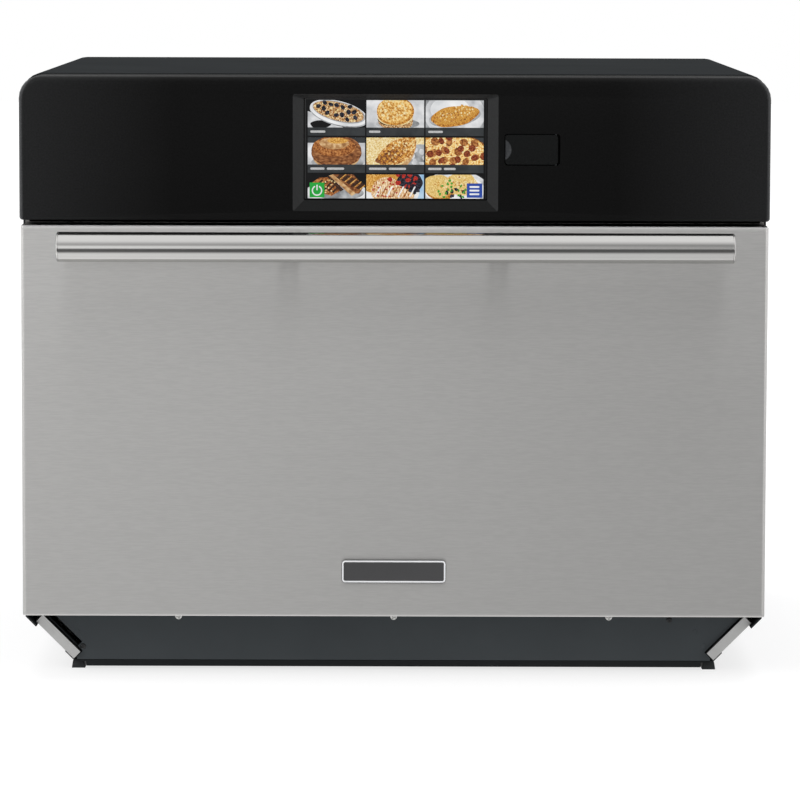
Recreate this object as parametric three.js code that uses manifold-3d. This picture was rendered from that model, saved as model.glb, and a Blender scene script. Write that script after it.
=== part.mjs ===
// Countertop speed oven: cabinet, drop-down door, touch-screen control panel, slide-out air
// filters and the heating parts inside. Millimetres, +Z up, front at -Y, and the origin on the
// counter under the middle of the oven's box.

import * as THREE from 'three';
import { mergeVertices } from 'three/addons/utils/BufferGeometryUtils.js';
import Module from 'manifold-3d';

const wasm = await Module();
wasm.setup();

// Whole oven
const bodyWidth = 641;
const bodyHeight = 521;
const bodyDepth = 594;
const handleReach = 57;
const frontDepth = 46;
const seatGap = 0.3;
const overrun = 3;

// Cabinet sheet metal
const sheetWall = 1.5;
const wrapCornerRadius = 18;
const cornerCutHeight = 41.7;
const upperLipRun = 9;
const lowerLipRun = 8.7;
const frameWall = 2;
const frameBottomLift = 4;
const chinSetback = 16;
const chinWall = 1.5;
const chinGapLeft = 6.5;
const chinGapRight = 1.2;
const chinCornerLift = 4;
const chinKneeLift = 9.2;
const chinTabLift = 13.7;
const baseFlangeDrop = 4;

// Feet
const footHeight = 6.5;
const footTopWidth = 9.8;
const footFlare = 1;
const footLength = 24;
const footOverhang = 3.2;
const footFrontSetback = 21.5;
const footRearSetback = 40;

// Oven cavity
const cavityWidth = 413;
const cavityHeadroom = 32.5;
const rearBay = 164.7;
const linerWall = 1.5;
const ledgeRun = 9;
const ledgeHeight = 5;
const ledgeLift = 70;
const ledgeSpacing = 80;
const ledgeEndInset = 24;
const insulationWall = 25;
const floorPlateMargin = 12;
const floorPlateWall = 6;
const lampRadius = 19;
const lampDepth = 14;
const lampRim = 4;
const lampDrop = 72;
const lampBack = 120;

// Door
const doorBottomLift = 7.5;
const doorSideInset = 1.3;
const doorSkinWall = 1.2;
const doorEdgeRadius = 3;
const doorCornerRadius = 1.2;
const doorBackGap = 2;
const doorPlateWall = 2;
const hingeFromFace = 20;
const doorSweepGap = 0.5;
const chokeDepth = 12;
const chokeWall = 1.5;
const chokeSlot = 5;
const chokeWidth = 24;
const chokeMargin = 10;
const dishDepth = 6;
const dishSlope = 8;
const sealWidth = 8;

// Door hinges and latches
const hingeInset = 29.2;
const bracketWall = 4;
const bracketNose = 9;
const bracketTail = 40;
const hingeSideGap = 0.5;
const slotClearance = 1.5;
const pinRadius = 4;
const pinHeadRadius = 6;
const pinHeadWall = 1.5;
const armHeight = 110;
const latchSide = 38.5;
const latchDrop = 20.5;
const latchWall = 4;
const latchHeight = 9;
const latchReach = 20;
const latchTip = 4;
const latchFlange = 1.2;
const latchFlangeRim = 5;
const latchDropGap = 6;
const latchLiftGap = 6.5;
const switchWidth = 22;
const switchHeight = 16;
const switchDepth = 28;

// Handle and nameplate
const handleEndInset = 34.9;
const handleRadius = 12.7;
const handleWall = 2;
const handleDrop = 15.5;
const handleShift = 1;
const postSpacing = 180;
const postRadius = 8.75;
const postBaseRadius = 10.5;
const postBaseHeight = 3;
const capDome = 1.3;
const capShoulderShare = 0.7;
const capRim = 0.9;
const capPlug = 9;
const nameplateWidth = 90;
const nameplateHeight = 20;
const nameplateWall = 1.4;
const nameplateRadius = 4;
const nameplateLift = 39.5;

// Control panel
const panelDoorGap = 4.2;
const panelTopDrop = 1;
const panelWall = 2.5;
const panelCornerRadius = 19.5;
const panelLowerRadius = 1.6;
const panelTopRound = 6.5;
const panelSideRound = 4;
const panelBottomRound = 1.2;
const panelBackInset = 0.4;
const screenX = 0.6;
const screenWindowWidth = 155.5;
const screenWindowHeight = 86.2;
const screenLift = 18.2;
const screenHeadroom = 18.9;
const screenBevel = 10;
const screenBevelTop = 4;
const screenPocketDepth = 5;
const screenBossWall = 2;
const glassMargin = 3;
const glassWall = 1.8;
const displayDepth = 9;
const displayInset = 2;

// Flap over the USB socket
const flapWidth = 44.6;
const flapHeight = 25.2;
const flapSide = 5.85;
const flapLift = 61.2;
const flapWall = 2.5;
const flapRadius = 2.5;
const flapGap = 0.8;
const flapHingeGap = 2;
const flapHingeInset = 1.6;
const flapPinRadius = 0.8;
const flapPinReach = 2;
const scoopRadius = 10;
const scoopWidth = 5.6;
const scoopDepth = 1.3;
const scoopSlope = 2.8;
const usbPocketDepth = 20;
const usbWidth = 15;
const usbHeight = 8;
const usbDepth = 9;
const usbPortInset = 1.4;

// Air filters in the sloped corners
const filterLap = 6.3;
const filterWall = 8.5;
const filterLength = 320;
const filterSetback = 10;
const filterRim = 6;
const filterEndRim = 12;
const filterMeshWall = 2;
const filterBars = 4;
const filterBarWidth = 3;
const filterShift = -1;
const guideWall = 1.2;
const guideGap = 0.5;

// Rear panel
const rearWall = 1.5;
const rearInset = 1;
const louvreRows = 9;
const louvreWidth = 90;
const louvreHeight = 5;
const louvrePitch = 13;
const louvreInset = 130.5;
const louvreDrop = 221;
const glandInset = 85.5;
const glandLift = 103.2;
const glandRadius = 13;
const glandBore = 5;
const glandReach = 0.9;
const glandInnerReach = 16;

// Hot air fan
const fanOpeningShare = 0.275;
const fanRunGap = 4;
const fanDiscWall = 1.5;
const fanBlades = 10;
const fanBladeHeight = 16;
const fanBladeLength = 30;
const fanBladeWall = 1.5;
const fanHubRadius = 12;
const fanShaftRadius = 4;
const fanBladeSweep = 60;
const plenumRim = 13;
const plenumDepth = 28;
const plenumWall = 1.2;
const fanCoverRim = 28;
const fanCoverWall = 1.5;
const fanHoleRadius = 6;
const fanHolePitch = 22;
const motorRadius = 38;
const motorLength = 62;
const motorBore = 18;
const motorFlangeRim = 4.5;

// Radiant element under the cavity roof
const elementRadius = 4;
const elementRuns = 6;
const elementPitch = 52;
const elementDrop = 16;
const elementFrontInset = 40;
const elementRearInset = 46;
const elementTail = 20;

// Cooking rack
const rackRodRadius = 3;
const rackWireRadius = 2;
const rackWires = 11;
const rackSideGap = 4;
const rackFrontInset = 20;
const rackRearInset = 34;

// Microwave feed
const guideDuctSide = 8;
const guideDuctHeight = 26;
const guideDuctWall = 1.2;
const guideDuctFront = 95;
const stirrerRadius = 76;
const stirrerWellGap = 6;
const stirrerLift = 4;
const stirrerBlades = 3;
const stirrerBladeWidth = 24;
const stirrerWall = 1.5;
const stirrerHubRadius = 9;
const stirrerShaftRadius = 3;
const stirrerMotorRadius = 24;
const stirrerMotorHeight = 18;
const magnetronSideGap = 4.5;
const magnetronWidth = 82;
const magnetronDepth = 64;
const magnetronHeight = 74;
const magnetronFins = 7;
const magnetronFinWall = 1.2;
const magnetronPlateWall = 2.4;
const magnetronCoreRadius = 20;
const magnetronStubRadius = 9;
const magnetronStubReach = 12;

// Power parts on the base
const powerRearInset = 90.5;
const transformerPitch = 62;
const transformerWidth = 76;
const transformerDepth = 92;
const transformerHeight = 58;
const transformerCoilRadius = 9;
const transformerCoilOverhang = 9;
const transformerCoilInset = 12;
const capacitorInset = 46.8;
const capacitorWidth = 32;
const capacitorDepth = 54;
const capacitorHeight = 84;
const capacitorRound = 14.5;
const capacitorTab = 8;
const capacitorTabWall = 2;

// Cooling blower
const blowerRearInset = 87.5;
const blowerRadius = 46;
const blowerHeight = 40;
const blowerBlades = 14;
const blowerBladeWall = 1.2;
const blowerBladeDepth = 9;
const blowerRing = 2;
const blowerSpindleRadius = 5;
const blowerHubRadius = 9;
const blowerRunGap = 4;
const scrollWall = 1.5;
const scrollGrowth = 16;
const outletLap = 3;
const blowerInletGap = 10.6;

// Boards behind the control panel
const boardInset = 130.5;
const boardWidth = 120;
const boardHeight = 84;
const boardWall = 1.6;
const boardStandoff = 6;
const boardStandoffRadius = 3;
const boardChipHeight = 6;

// Facet counts
const cornerSteps = 6;
const roundSteps = 24;
const smallSteps = 10;
const holeSteps = 8;
const wireSteps = 6;
const seamSteps = 3;
const coarseSteps = 2;
const doorEdgeSteps = 4;
const panelEdgeSteps = 5;

// Places that follow from the sizes
const bodyHalf = bodyWidth / 2;
const rearY = (bodyDepth + handleReach) / 2;
const doorFaceY = rearY - bodyDepth;
const cabinetFrontY = doorFaceY + frontDepth;
const baseZ = footHeight + seatGap;
const deckZ = baseZ + sheetWall + seatGap;
const sideFootZ = baseZ + cornerCutHeight;
const baseHalf = bodyHalf - cornerCutHeight;
const cutLine = bodyHalf - sideFootZ;
const footOuterX = baseHalf + footOverhang;
const chinY = cabinetFrontY + chinSetback;
const frameBackY = cabinetFrontY + frameWall;
const panelTopZ = bodyHeight - panelTopDrop;
const panelBottomZ = panelTopZ - screenHeadroom - screenWindowHeight - screenLift;
const doorTopZ = panelBottomZ - panelDoorGap;
const doorBottomZ = sideFootZ + doorBottomLift;
const doorHalf = bodyHalf - doorSideInset;
const doorBackY = cabinetFrontY - doorBackGap;
const hingeY = doorFaceY + hingeFromFace;
const doorSweepRadius = cabinetFrontY - hingeY - doorSweepGap;
const hingeZ = doorBottomZ + doorSweepRadius;
const hingeX = doorHalf - hingeInset;
const scrollHeight = 2 * scrollWall + 2 * blowerRunGap + blowerHeight;
const ductBottomZ = deckZ + scrollHeight + blowerInletGap;
const ductTopZ = ductBottomZ + guideDuctHeight;
const cavityFloorZ = ductTopZ + seatGap + linerWall;
const cavityRoofZ = doorTopZ - cavityHeadroom;
const cavityHeight = cavityRoofZ - cavityFloorZ;
const cavityHalf = cavityWidth / 2;
const cavityFrontY = frameBackY + seatGap;
const cavityRearY = rearY - rearBay;
const latchX = cavityHalf + latchSide;
const latchZ = doorTopZ - latchDrop;
const filterFrontY = cabinetFrontY + filterSetback;
const filterRearY = filterFrontY + filterLength;
const handleHalf = doorHalf - handleEndInset;
const handleY = doorFaceY - handleReach + handleRadius;
const handleZ = doorTopZ - handleDrop;
const nameplateZ = doorBottomZ + nameplateLift;
const diagonal = Math.SQRT2;

// Solid shapes

// Turns a closed geometry into a solid, with shared vertices merged and slivers dropped.
function solidOf(geometry) {
  geometry.deleteAttribute('normal');
  geometry.deleteAttribute('uv');
  const merged = mergeVertices(geometry);
  const place = merged.attributes.position;
  const index = merged.index.array;
  const corners = [];
  let volume = 0;
  const a = new THREE.Vector3();
  const b = new THREE.Vector3();
  const c = new THREE.Vector3();
  for (let i = 0; i < index.length; i += 3) {
    const [p, q, r] = [index[i], index[i + 1], index[i + 2]];
    if (p === q || q === r || r === p) continue;
    corners.push([p, q, r]);
    a.fromBufferAttribute(place, p);
    b.fromBufferAttribute(place, q);
    c.fromBufferAttribute(place, r);
    volume += a.dot(b.cross(c));
  }
  const outward = corners.map(([p, q, r]) => (volume < 0 ? [p, r, q] : [p, q, r]));
  return new wasm.Manifold(new wasm.Mesh({
    numProp: 3,
    vertProperties: Float32Array.from(place.array),
    triVerts: Uint32Array.from(outward.flat()),
  }));
}

function geometryOf(solid) {
  const mesh = solid.getMesh();
  const geometry = new THREE.BufferGeometry();
  const places = new Float32Array(mesh.numVert * 3);
  for (let i = 0; i < mesh.numVert; i += 1) {
    for (let axis = 0; axis < 3; axis += 1) {
      places[i * 3 + axis] = mesh.vertProperties[i * mesh.numProp + axis];
    }
  }
  geometry.setAttribute('position', new THREE.BufferAttribute(places, 3));
  geometry.setIndex(new THREE.BufferAttribute(Uint32Array.from(mesh.triVerts), 1));
  geometry.computeVertexNormals();
  return geometry;
}

function join(...solids) {
  return solids.reduce((whole, solid) => whole.add(solid));
}

function cut(solid, ...tools) {
  return tools.reduce((rest, tool) => rest.subtract(tool), solid);
}

function box(x0, x1, y0, y1, z0, z1) {
  const geometry = new THREE.BoxGeometry(x1 - x0, y1 - y0, z1 - z0);
  geometry.translate((x0 + x1) / 2, (y0 + y1) / 2, (z0 + z1) / 2);
  return solidOf(geometry);
}

// A point list is extruded across the plane of two axes: the third axis gets the depth.
const planes = {
  x: new THREE.Matrix4().makeBasis(
    new THREE.Vector3(0, 1, 0), new THREE.Vector3(0, 0, 1), new THREE.Vector3(1, 0, 0)),
  y: new THREE.Matrix4().makeBasis(
    new THREE.Vector3(1, 0, 0), new THREE.Vector3(0, 0, 1), new THREE.Vector3(0, -1, 0)),
  z: new THREE.Matrix4(),
};

function prism(axis, points, start, end) {
  const outline = new THREE.Shape(points.map(([u, v]) => new THREE.Vector2(u, v)));
  const geometry = new THREE.ExtrudeGeometry(outline, {
    depth: end - start, steps: 1, bevelEnabled: false, curveSegments: 1,
  });
  geometry.applyMatrix4(planes[axis]);
  const from = axis === 'y' ? end : start;
  geometry.translate(axis === 'x' ? from : 0, axis === 'y' ? from : 0, axis === 'z' ? from : 0);
  return solidOf(geometry);
}

// Points of an arc from one angle to another, in degrees.
function arc(centreU, centreV, radius, fromDegrees, toDegrees, steps) {
  const points = [];
  for (let i = 0; i <= steps; i += 1) {
    const angle = THREE.MathUtils.degToRad(fromDegrees + (toDegrees - fromDegrees) * i / steps);
    points.push([centreU + radius * Math.cos(angle), centreV + radius * Math.sin(angle)]);
  }
  return points;
}

function circle(centreU, centreV, radius, sides) {
  return arc(centreU, centreV, radius, 0, 360, sides).slice(0, sides);
}

// A rectangle with its upper and lower corners rounded.
function rounded(u0, u1, v0, v1, upperRadius, lowerRadius = upperRadius, steps = cornerSteps) {
  return [
    ...arc(u0 + lowerRadius, v0 + lowerRadius, lowerRadius, 180, 270, steps),
    ...arc(u1 - lowerRadius, v0 + lowerRadius, lowerRadius, 270, 360, steps),
    ...arc(u1 - upperRadius, v1 - upperRadius, upperRadius, 0, 90, steps),
    ...arc(u0 + upperRadius, v1 - upperRadius, upperRadius, 90, 180, steps),
  ];
}

// A rod along an axis, round about the point (u, v) of the plane across it.
function rod(axis, u, v, radius, start, end, sides = roundSteps) {
  return prism(axis, circle(u, v, radius, sides), start, end);
}

// A skin over rings of as many points each, closed at both ends. A ring is a depth along Y and
// an outline in X and Z.
function loftY(rings) {
  const count = rings[0].points.length;
  const places = [];
  const index = [];
  rings.forEach(({ y, points }) => points.forEach(([x, z]) => places.push(x, y, z)));
  for (let ring = 0; ring + 1 < rings.length; ring += 1) {
    for (let i = 0; i < count; i += 1) {
      const next = (i + 1) % count;
      const [a, b] = [ring * count + i, ring * count + next];
      index.push(a, b, a + count, b, b + count, a + count);
    }
  }
  const last = (rings.length - 1) * count;
  const lid = [rings[0], rings[rings.length - 1]].map(({ points }) => (
    THREE.ShapeUtils.triangulateShape(points.map(([x, z]) => new THREE.Vector2(x, z)), [])));
  lid[0].forEach(([a, b, c]) => index.push(a, c, b));
  lid[1].forEach(([a, b, c]) => index.push(last + a, last + b, last + c));
  const geometry = new THREE.BufferGeometry();
  geometry.setAttribute('position', new THREE.Float32BufferAttribute(places, 3));
  geometry.setIndex(index);
  return solidOf(geometry);
}

// Rings that carry an outline round a front edge: a quarter circle of insets.
function edgeRings(frontY, radius, outlineAt, steps) {
  const rings = [];
  for (let i = 0; i <= steps; i += 1) {
    const angle = (Math.PI / 2) * i / steps;
    rings.push({
      y: frontY + radius * (1 - Math.sin(angle)),
      points: outlineAt(1 - Math.cos(angle)),
    });
  }
  return rings;
}

// A turned piece along Z from (radius, height) points that start and end on the axis.
function turned(profile, sides = roundSteps) {
  const geometry = new THREE.LatheGeometry(
    profile.map(([radius, height]) => new THREE.Vector2(radius, height)), sides);
  geometry.rotateX(Math.PI / 2);
  return solidOf(geometry);
}

function tube(axis, u, v, outer, inner, start, end, sides = roundSteps) {
  return cut(
    rod(axis, u, v, outer, start, end, sides),
    rod(axis, u, v, inner, start - overrun, end + overrun, sides));
}

function turn(solid, degreesX, degreesY, degreesZ) {
  return solid.rotate([degreesX, degreesY, degreesZ]);
}

function move(solid, x, y, z) {
  return solid.translate([x, y, z]);
}

// Scene

const oven = new THREE.Group();
oven.name = 'speed_oven';

function finish(color, roughness, metalness) {
  return () => new THREE.MeshStandardMaterial({ color, roughness, metalness });
}

const finishes = {
  paint: finish(0x33373a, 0.45, 0.3),
  brushed: finish(0x9a9997, 0.35, 0.9),
  polished: finish(0xc4c4c2, 0.2, 1),
  cavitySteel: finish(0xa8a7a3, 0.35, 0.9),
  blackPlastic: finish(0x0c0c0d, 0.4, 0),
  greyPlastic: finish(0x3c3d3e, 0.5, 0),
  screen: finish(0x101418, 0.08, 0),
  aluminium: finish(0xb3b3b1, 0.35, 0.8),
  rubber: finish(0x1c1e1f, 0.85, 0),
  galvanized: finish(0x8f9394, 0.5, 0.8),
  copper: finish(0xa9643c, 0.4, 0.9),
  ceramic: finish(0xd9d2c2, 0.6, 0),
  glass: finish(0xdfe6e8, 0.1, 0),
  fibre: finish(0xd8cfa8, 0.95, 0),
  heater: finish(0x4a4542, 0.5, 0.6),
  circuit: finish(0x1f5a3a, 0.6, 0),
};

function group(parent, x = 0, y = 0, z = 0) {
  const child = new THREE.Group();
  child.position.set(x, y, z);
  parent.add(child);
  return child;
}

function piece(parent, name, solid, material, x = 0, y = 0, z = 0) {
  const mesh = new THREE.Mesh(geometryOf(solid), material());
  mesh.name = name;
  mesh.position.set(x, y, z);
  parent.add(mesh);
  return mesh;
}

const sides = [['left', -1], ['right', 1]];

// Cabinet shell

const wallInset = sheetWall + seatGap;
const frameBottomZ = sideFootZ + frameBottomLift;

// The cabinet's section from the end of one upper lip over the roof to the other, at an inset
// from its outer face.
function wrapLine(inset) {
  const radius = wrapCornerRadius - inset;
  const lip = [bodyHalf - upperLipRun - inset / diagonal, sideFootZ - upperLipRun + inset / diagonal];
  const foot = [bodyHalf - inset, sideFootZ + inset * (diagonal - 1)];
  const centreX = bodyHalf - wrapCornerRadius;
  const centreZ = bodyHeight - wrapCornerRadius;
  return [
    [-lip[0], lip[1]],
    [-foot[0], foot[1]],
    ...arc(-centreX, centreZ, radius, 180, 90, cornerSteps),
    ...arc(centreX, centreZ, radius, 90, 0, cornerSteps),
    foot,
    lip,
  ];
}

// The floor's section between its two lips, whose run up the slope is given.
function baseLine(inset, lipRun) {
  const lip = [baseHalf + lipRun - inset / diagonal, baseZ + lipRun + inset / diagonal];
  const corner = [baseHalf + inset * (1 - diagonal), baseZ + inset];
  return [[-lip[0], lip[1]], [-corner[0], corner[1]], corner, lip];
}

function outerWrap() {
  return prism('y', [...wrapLine(0), ...wrapLine(sheetWall).reverse()], cabinetFrontY, rearY);
}

function basePan() {
  const section = (lipRun) => [...baseLine(0, lipRun), ...baseLine(sheetWall, lipRun).reverse()];
  const tallRun = cornerCutHeight - upperLipRun - seatGap;
  const tallFront = filterRearY + guideGap + guideWall + seatGap;
  const flangeHalf = footOuterX - 2 * footFlare - footTopWidth - sheetWall;
  return join(
    prism('y', section(lowerLipRun), chinY, rearY),
    prism('y', section(tallRun), tallFront, rearY),
    box(-flangeHalf, flangeHalf, chinY, chinY + sheetWall, baseZ - baseFlangeDrop, baseZ + sheetWall),
  );
}

// The panel under the door. On the left a tab for its screw reaches over to the air filter.
function chinPanel() {
  const filterInset = wallInset + filterWall;
  const slopeX = (z, gap) => cutLine + z - (filterInset + gap) * diagonal;
  const bottomZ = baseZ + sheetWall + seatGap;
  const topZ = frameBottomZ + chinWall;
  const kneeZ = baseZ + chinKneeLift;
  const kneeX = slopeX(kneeZ, chinGapRight);
  const cornerZ = baseZ + chinCornerLift;
  const cornerX = kneeX + kneeZ - cornerZ;
  const tabZ = baseZ + chinTabLift;
  const tabRun = (chinGapLeft - chinGapRight) / diagonal;
  const face = [
    [-cornerX, bottomZ],
    [cornerX, bottomZ],
    [cornerX, cornerZ],
    [kneeX, kneeZ],
    [slopeX(topZ, chinGapRight), topZ],
    [-slopeX(topZ, chinGapLeft), topZ],
    [tabRun - slopeX(tabZ, chinGapRight), tabZ + tabRun],
    [-slopeX(tabZ, chinGapRight), tabZ],
    [-kneeX, kneeZ],
    [-cornerX, cornerZ],
  ];
  const shelfHalf = slopeX(frameBottomZ, chinGapLeft);
  return join(
    prism('y', face, chinY, chinY + chinWall),
    box(-shelfHalf, shelfHalf, frameBackY + seatGap, chinY + chinWall, frameBottomZ, topZ),
  );
}

function frontFrame() {
  const radius = wrapCornerRadius - wallInset;
  const half = bodyHalf - wallInset;
  const plate = prism('y', [
    [-half, frameBottomZ],
    [half, frameBottomZ],
    ...arc(half - radius, bodyHeight - wallInset - radius, radius, 0, 90, cornerSteps),
    ...arc(radius - half, bodyHeight - wallInset - radius, radius, 90, 180, cornerSteps),
  ], cabinetFrontY, frameBackY);
  const [y0, y1] = [cabinetFrontY - overrun, frameBackY + overrun];
  const openings = [
    box(-cavityHalf, cavityHalf, y0, y1, cavityFloorZ, cavityRoofZ),
    ...sides.flatMap(([, side]) => {
      const hinge = side * hingeX;
      const latch = side * latchX;
      const hingeHalf = bracketWall / 2 + seatGap;
      const latchHalf = latchWall / 2 + slotClearance;
      return [
        box(hinge - hingeHalf, hinge + hingeHalf, y0, y1,
          hingeZ - bracketNose - seatGap, hingeZ + bracketNose + seatGap),
        box(latch - latchHalf, latch + latchHalf, y0, y1,
          latchZ - latchDropGap, latchZ + latchHeight + latchLiftGap),
      ];
    }),
  ];
  return cut(plate, ...openings);
}

const louvreX = bodyHalf - louvreInset;
const louvreZ = bodyHeight - louvreDrop;
const glandX = bodyHalf - glandInset;
const glandZ = baseZ + glandLift;

function rearPanel() {
  const radius = wrapCornerRadius - wallInset;
  const half = bodyHalf - wallInset;
  const footZ = sideFootZ + wallInset * (diagonal - 1);
  const [y0, y1] = [rearY - rearInset - rearWall, rearY - rearInset];
  const lowHalf = baseHalf + wallInset * (1 - diagonal);
  const plate = prism('y', [
    [-lowHalf, baseZ + wallInset],
    [lowHalf, baseZ + wallInset],
    [half, footZ],
    ...arc(half - radius, bodyHeight - wallInset - radius, radius, 0, 90, cornerSteps),
    ...arc(radius - half, bodyHeight - wallInset - radius, radius, 90, 180, cornerSteps),
    [-half, footZ],
  ], y0, y1);
  const slots = sides.flatMap(([, side]) => Array.from({ length: louvreRows }, (_, row) => {
    const z = louvreZ + (row - (louvreRows - 1) / 2) * louvrePitch;
    return prism('y', rounded(
      side * louvreX - louvreWidth / 2, side * louvreX + louvreWidth / 2,
      z - louvreHeight / 2, z + louvreHeight / 2, louvreHeight / 2, louvreHeight / 2, 1),
    y0 - overrun, y1 + overrun);
  }));
  const glandHole = rod('y', glandX, glandZ, glandRadius - glandBore / 2, y0 - overrun, y1 + overrun);
  return cut(plate, ...slots, glandHole);
}

function cableGland() {
  const [y0, y1] = [rearY - rearInset - rearWall, rearY - rearInset];
  const neck = glandRadius - glandBore / 2 - seatGap;
  const outer = join(
    rod('y', glandX, glandZ, neck, y0 - glandInnerReach, y1 + glandReach),
    rod('y', glandX, glandZ, glandRadius, y0 - glandInnerReach, y0 - seatGap),
  );
  return cut(outer, rod('y', glandX, glandZ, glandBore, y0 - glandInnerReach - overrun,
    rearY + overrun, smallSteps));
}

// A flared pad, wider where it stands.
function foot() {
  const [top, bottom] = [footTopWidth / 2, footTopWidth / 2 + footFlare];
  return prism('y', [[-bottom, 0], [bottom, 0], [top, footHeight], [-top, footHeight]], 0, footLength);
}

const cabinet = group(oven);
piece(cabinet, 'outer_wrap', outerWrap(), finishes.paint);
piece(cabinet, 'base_pan', basePan(), finishes.paint);
piece(cabinet, 'chin_panel', chinPanel(), finishes.paint);
piece(cabinet, 'front_frame', frontFrame(), finishes.cavitySteel);
piece(cabinet, 'rear_panel', rearPanel(), finishes.paint);
piece(cabinet, 'cable_gland', cableGland(), finishes.blackPlastic);

const footX = footOuterX - footFlare - footTopWidth / 2;
const footRows = [
  ['front', cabinetFrontY + footFrontSetback],
  ['rear', rearY - footRearSetback - footLength],
];
footRows.forEach(([row, y]) => sides.forEach(([name, side]) => {
  piece(cabinet, `foot_${row}_${name}`, foot(), finishes.rubber, side * footX, y, 0);
}));

// Air filters and the channels that they slide in. Both are made flat, with their outer face
// down, and turned by half a right angle into the sloped corner.

const filterWindow = (cornerCutHeight - upperLipRun - lowerLipRun) * diagonal;
const filterHalf = filterWindow / 2 + filterLap;
const filterZ = baseZ + (cornerCutHeight + lowerLipRun - upperLipRun) / 2 + filterShift;
const filterX = cutLine + filterZ - wallInset * diagonal;

function filterWindows(y0, y1, z0, z1) {
  const windowStart = y0 + filterEndRim;
  const windowEnd = y1 - filterEndRim;
  const count = filterBars + 1;
  const length = (windowEnd - windowStart - filterBars * filterBarWidth) / count;
  return Array.from({ length: count }, (_, i) => {
    const start = windowStart + i * (length + filterBarWidth);
    return box(filterRim - filterHalf, filterHalf - filterRim, start, start + length, z0, z1);
  });
}

function airFilter() {
  const pocket = (filterWall - filterMeshWall) / 2;
  return cut(
    box(-filterHalf, filterHalf, 0, filterLength, 0, filterWall),
    ...filterWindows(0, filterLength, -overrun, pocket),
    ...filterWindows(0, filterLength, filterWall - pocket, filterWall + overrun),
  );
}

function filterGuide(length) {
  const innerHalf = filterHalf + guideGap;
  const outerHalf = innerHalf + guideWall;
  const innerZ = filterWall + guideGap;
  return cut(
    box(-outerHalf, outerHalf, 0, length + guideWall, 0, innerZ + guideWall),
    box(-innerHalf, innerHalf, -overrun, length, -overrun, innerZ),
    ...filterWindows(0, length, innerZ - overrun, innerZ + guideWall + overrun),
  );
}

const guideFrontY = chinY + chinWall + seatGap;
sides.forEach(([name, side]) => {
  const corner = group(oven, side * filterX, 0, filterZ);
  corner.rotation.y = -side * Math.PI / 4;
  piece(corner, `air_filter_${name}`, airFilter(), finishes.aluminium, 0, filterFrontY, 0);
  const length = filterRearY + guideGap - guideFrontY;
  piece(corner, `filter_guide_${name}`, filterGuide(length), finishes.paint, 0, guideFrontY, 0);
});

// Oven cavity

const rackLedgeZ = cavityFloorZ + ledgeLift + ledgeHeight;
const lampY = cavityFrontY + lampBack;
const lampZ = cavityRoofZ - lampDrop;
const elementZ = cavityRoofZ - elementDrop;
const elementHalf = elementPitch * (elementRuns - 1) / 2;
const stirrerY = (cavityFrontY + cavityRearY) / 2;
const stirrerWellRadius = stirrerRadius + stirrerWellGap;
const linerBackY = cavityRearY + linerWall;
const plenumFrontY = linerBackY + seatGap;
const plenumBackY = plenumFrontY + plenumDepth;
const fanZ = (cavityFloorZ + cavityRoofZ) / 2;
const fanOpening = cavityHeight * fanOpeningShare;
const fanCoverHalf = fanOpening + fanCoverRim;
const fanRadius = fanOpening - fanRunGap;
const plenumHalf = fanOpening + plenumRim;
const motorFlangeHalf = motorRadius + motorFlangeRim;

function cavityLiner() {
  const [outerHalf, innerHalf] = [cavityHalf + linerWall, cavityHalf];
  const shell = cut(
    box(-outerHalf, outerHalf, cavityFrontY, linerBackY,
      cavityFloorZ - linerWall, cavityRoofZ + linerWall),
    box(-innerHalf, innerHalf, cavityFrontY - overrun, cavityRearY, cavityFloorZ, cavityRoofZ),
  );
  const ledges = sides.flatMap(([, side]) => [0, ledgeSpacing].map((lift) => {
    const edges = [side * (innerHalf - ledgeRun), side * (innerHalf + linerWall / 2)].sort((a, b) => a - b);
    const top = rackLedgeZ + lift;
    return box(edges[0], edges[1], cavityFrontY + ledgeEndInset, cavityRearY - ledgeEndInset,
      top - ledgeHeight, top);
  }));
  const terminals = [-elementHalf, elementHalf].map((x) => (
    rod('y', x, elementZ, elementRadius + seatGap, cavityRearY - overrun, linerBackY + overrun,
      smallSteps)));
  return cut(
    join(shell, ...ledges),
    rod('y', 0, fanZ, fanOpening, cavityRearY - overrun, linerBackY + overrun),
    rod('z', 0, stirrerY, stirrerWellRadius, cavityFloorZ - linerWall - overrun, cavityFloorZ + overrun),
    rod('x', lampY, lampZ, lampRadius + seatGap, -outerHalf - overrun, -innerHalf + overrun),
    ...terminals,
  );
}

function cavityInsulation() {
  const innerHalf = cavityHalf + linerWall + seatGap;
  const outerHalf = innerHalf + insulationWall;
  const roof = cavityRoofZ + linerWall + seatGap;
  const bottom = cavityFloorZ - linerWall;
  return cut(
    box(-outerHalf, outerHalf, cavityFrontY, linerBackY, bottom, roof + insulationWall),
    box(-innerHalf, innerHalf, cavityFrontY - overrun, linerBackY + overrun, bottom - overrun, roof),
    rod('x', lampY, lampZ, lampRadius + seatGap, -outerHalf - overrun, -innerHalf + overrun),
  );
}

function cavityLamp() {
  const wallX = -cavityHalf;
  return join(
    rod('x', lampY, lampZ, lampRadius, wallX - lampDepth, wallX + seatGap + linerWall / 2),
    rod('x', lampY, lampZ, lampRadius + lampRim, wallX + seatGap, wallX + seatGap + linerWall),
  );
}

function ceramicFloor() {
  const half = cavityHalf - floorPlateMargin;
  return box(-half, half, cavityFrontY + floorPlateMargin, cavityRearY - floorPlateMargin,
    cavityFloorZ + seatGap, cavityFloorZ + seatGap + floorPlateWall);
}

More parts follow.
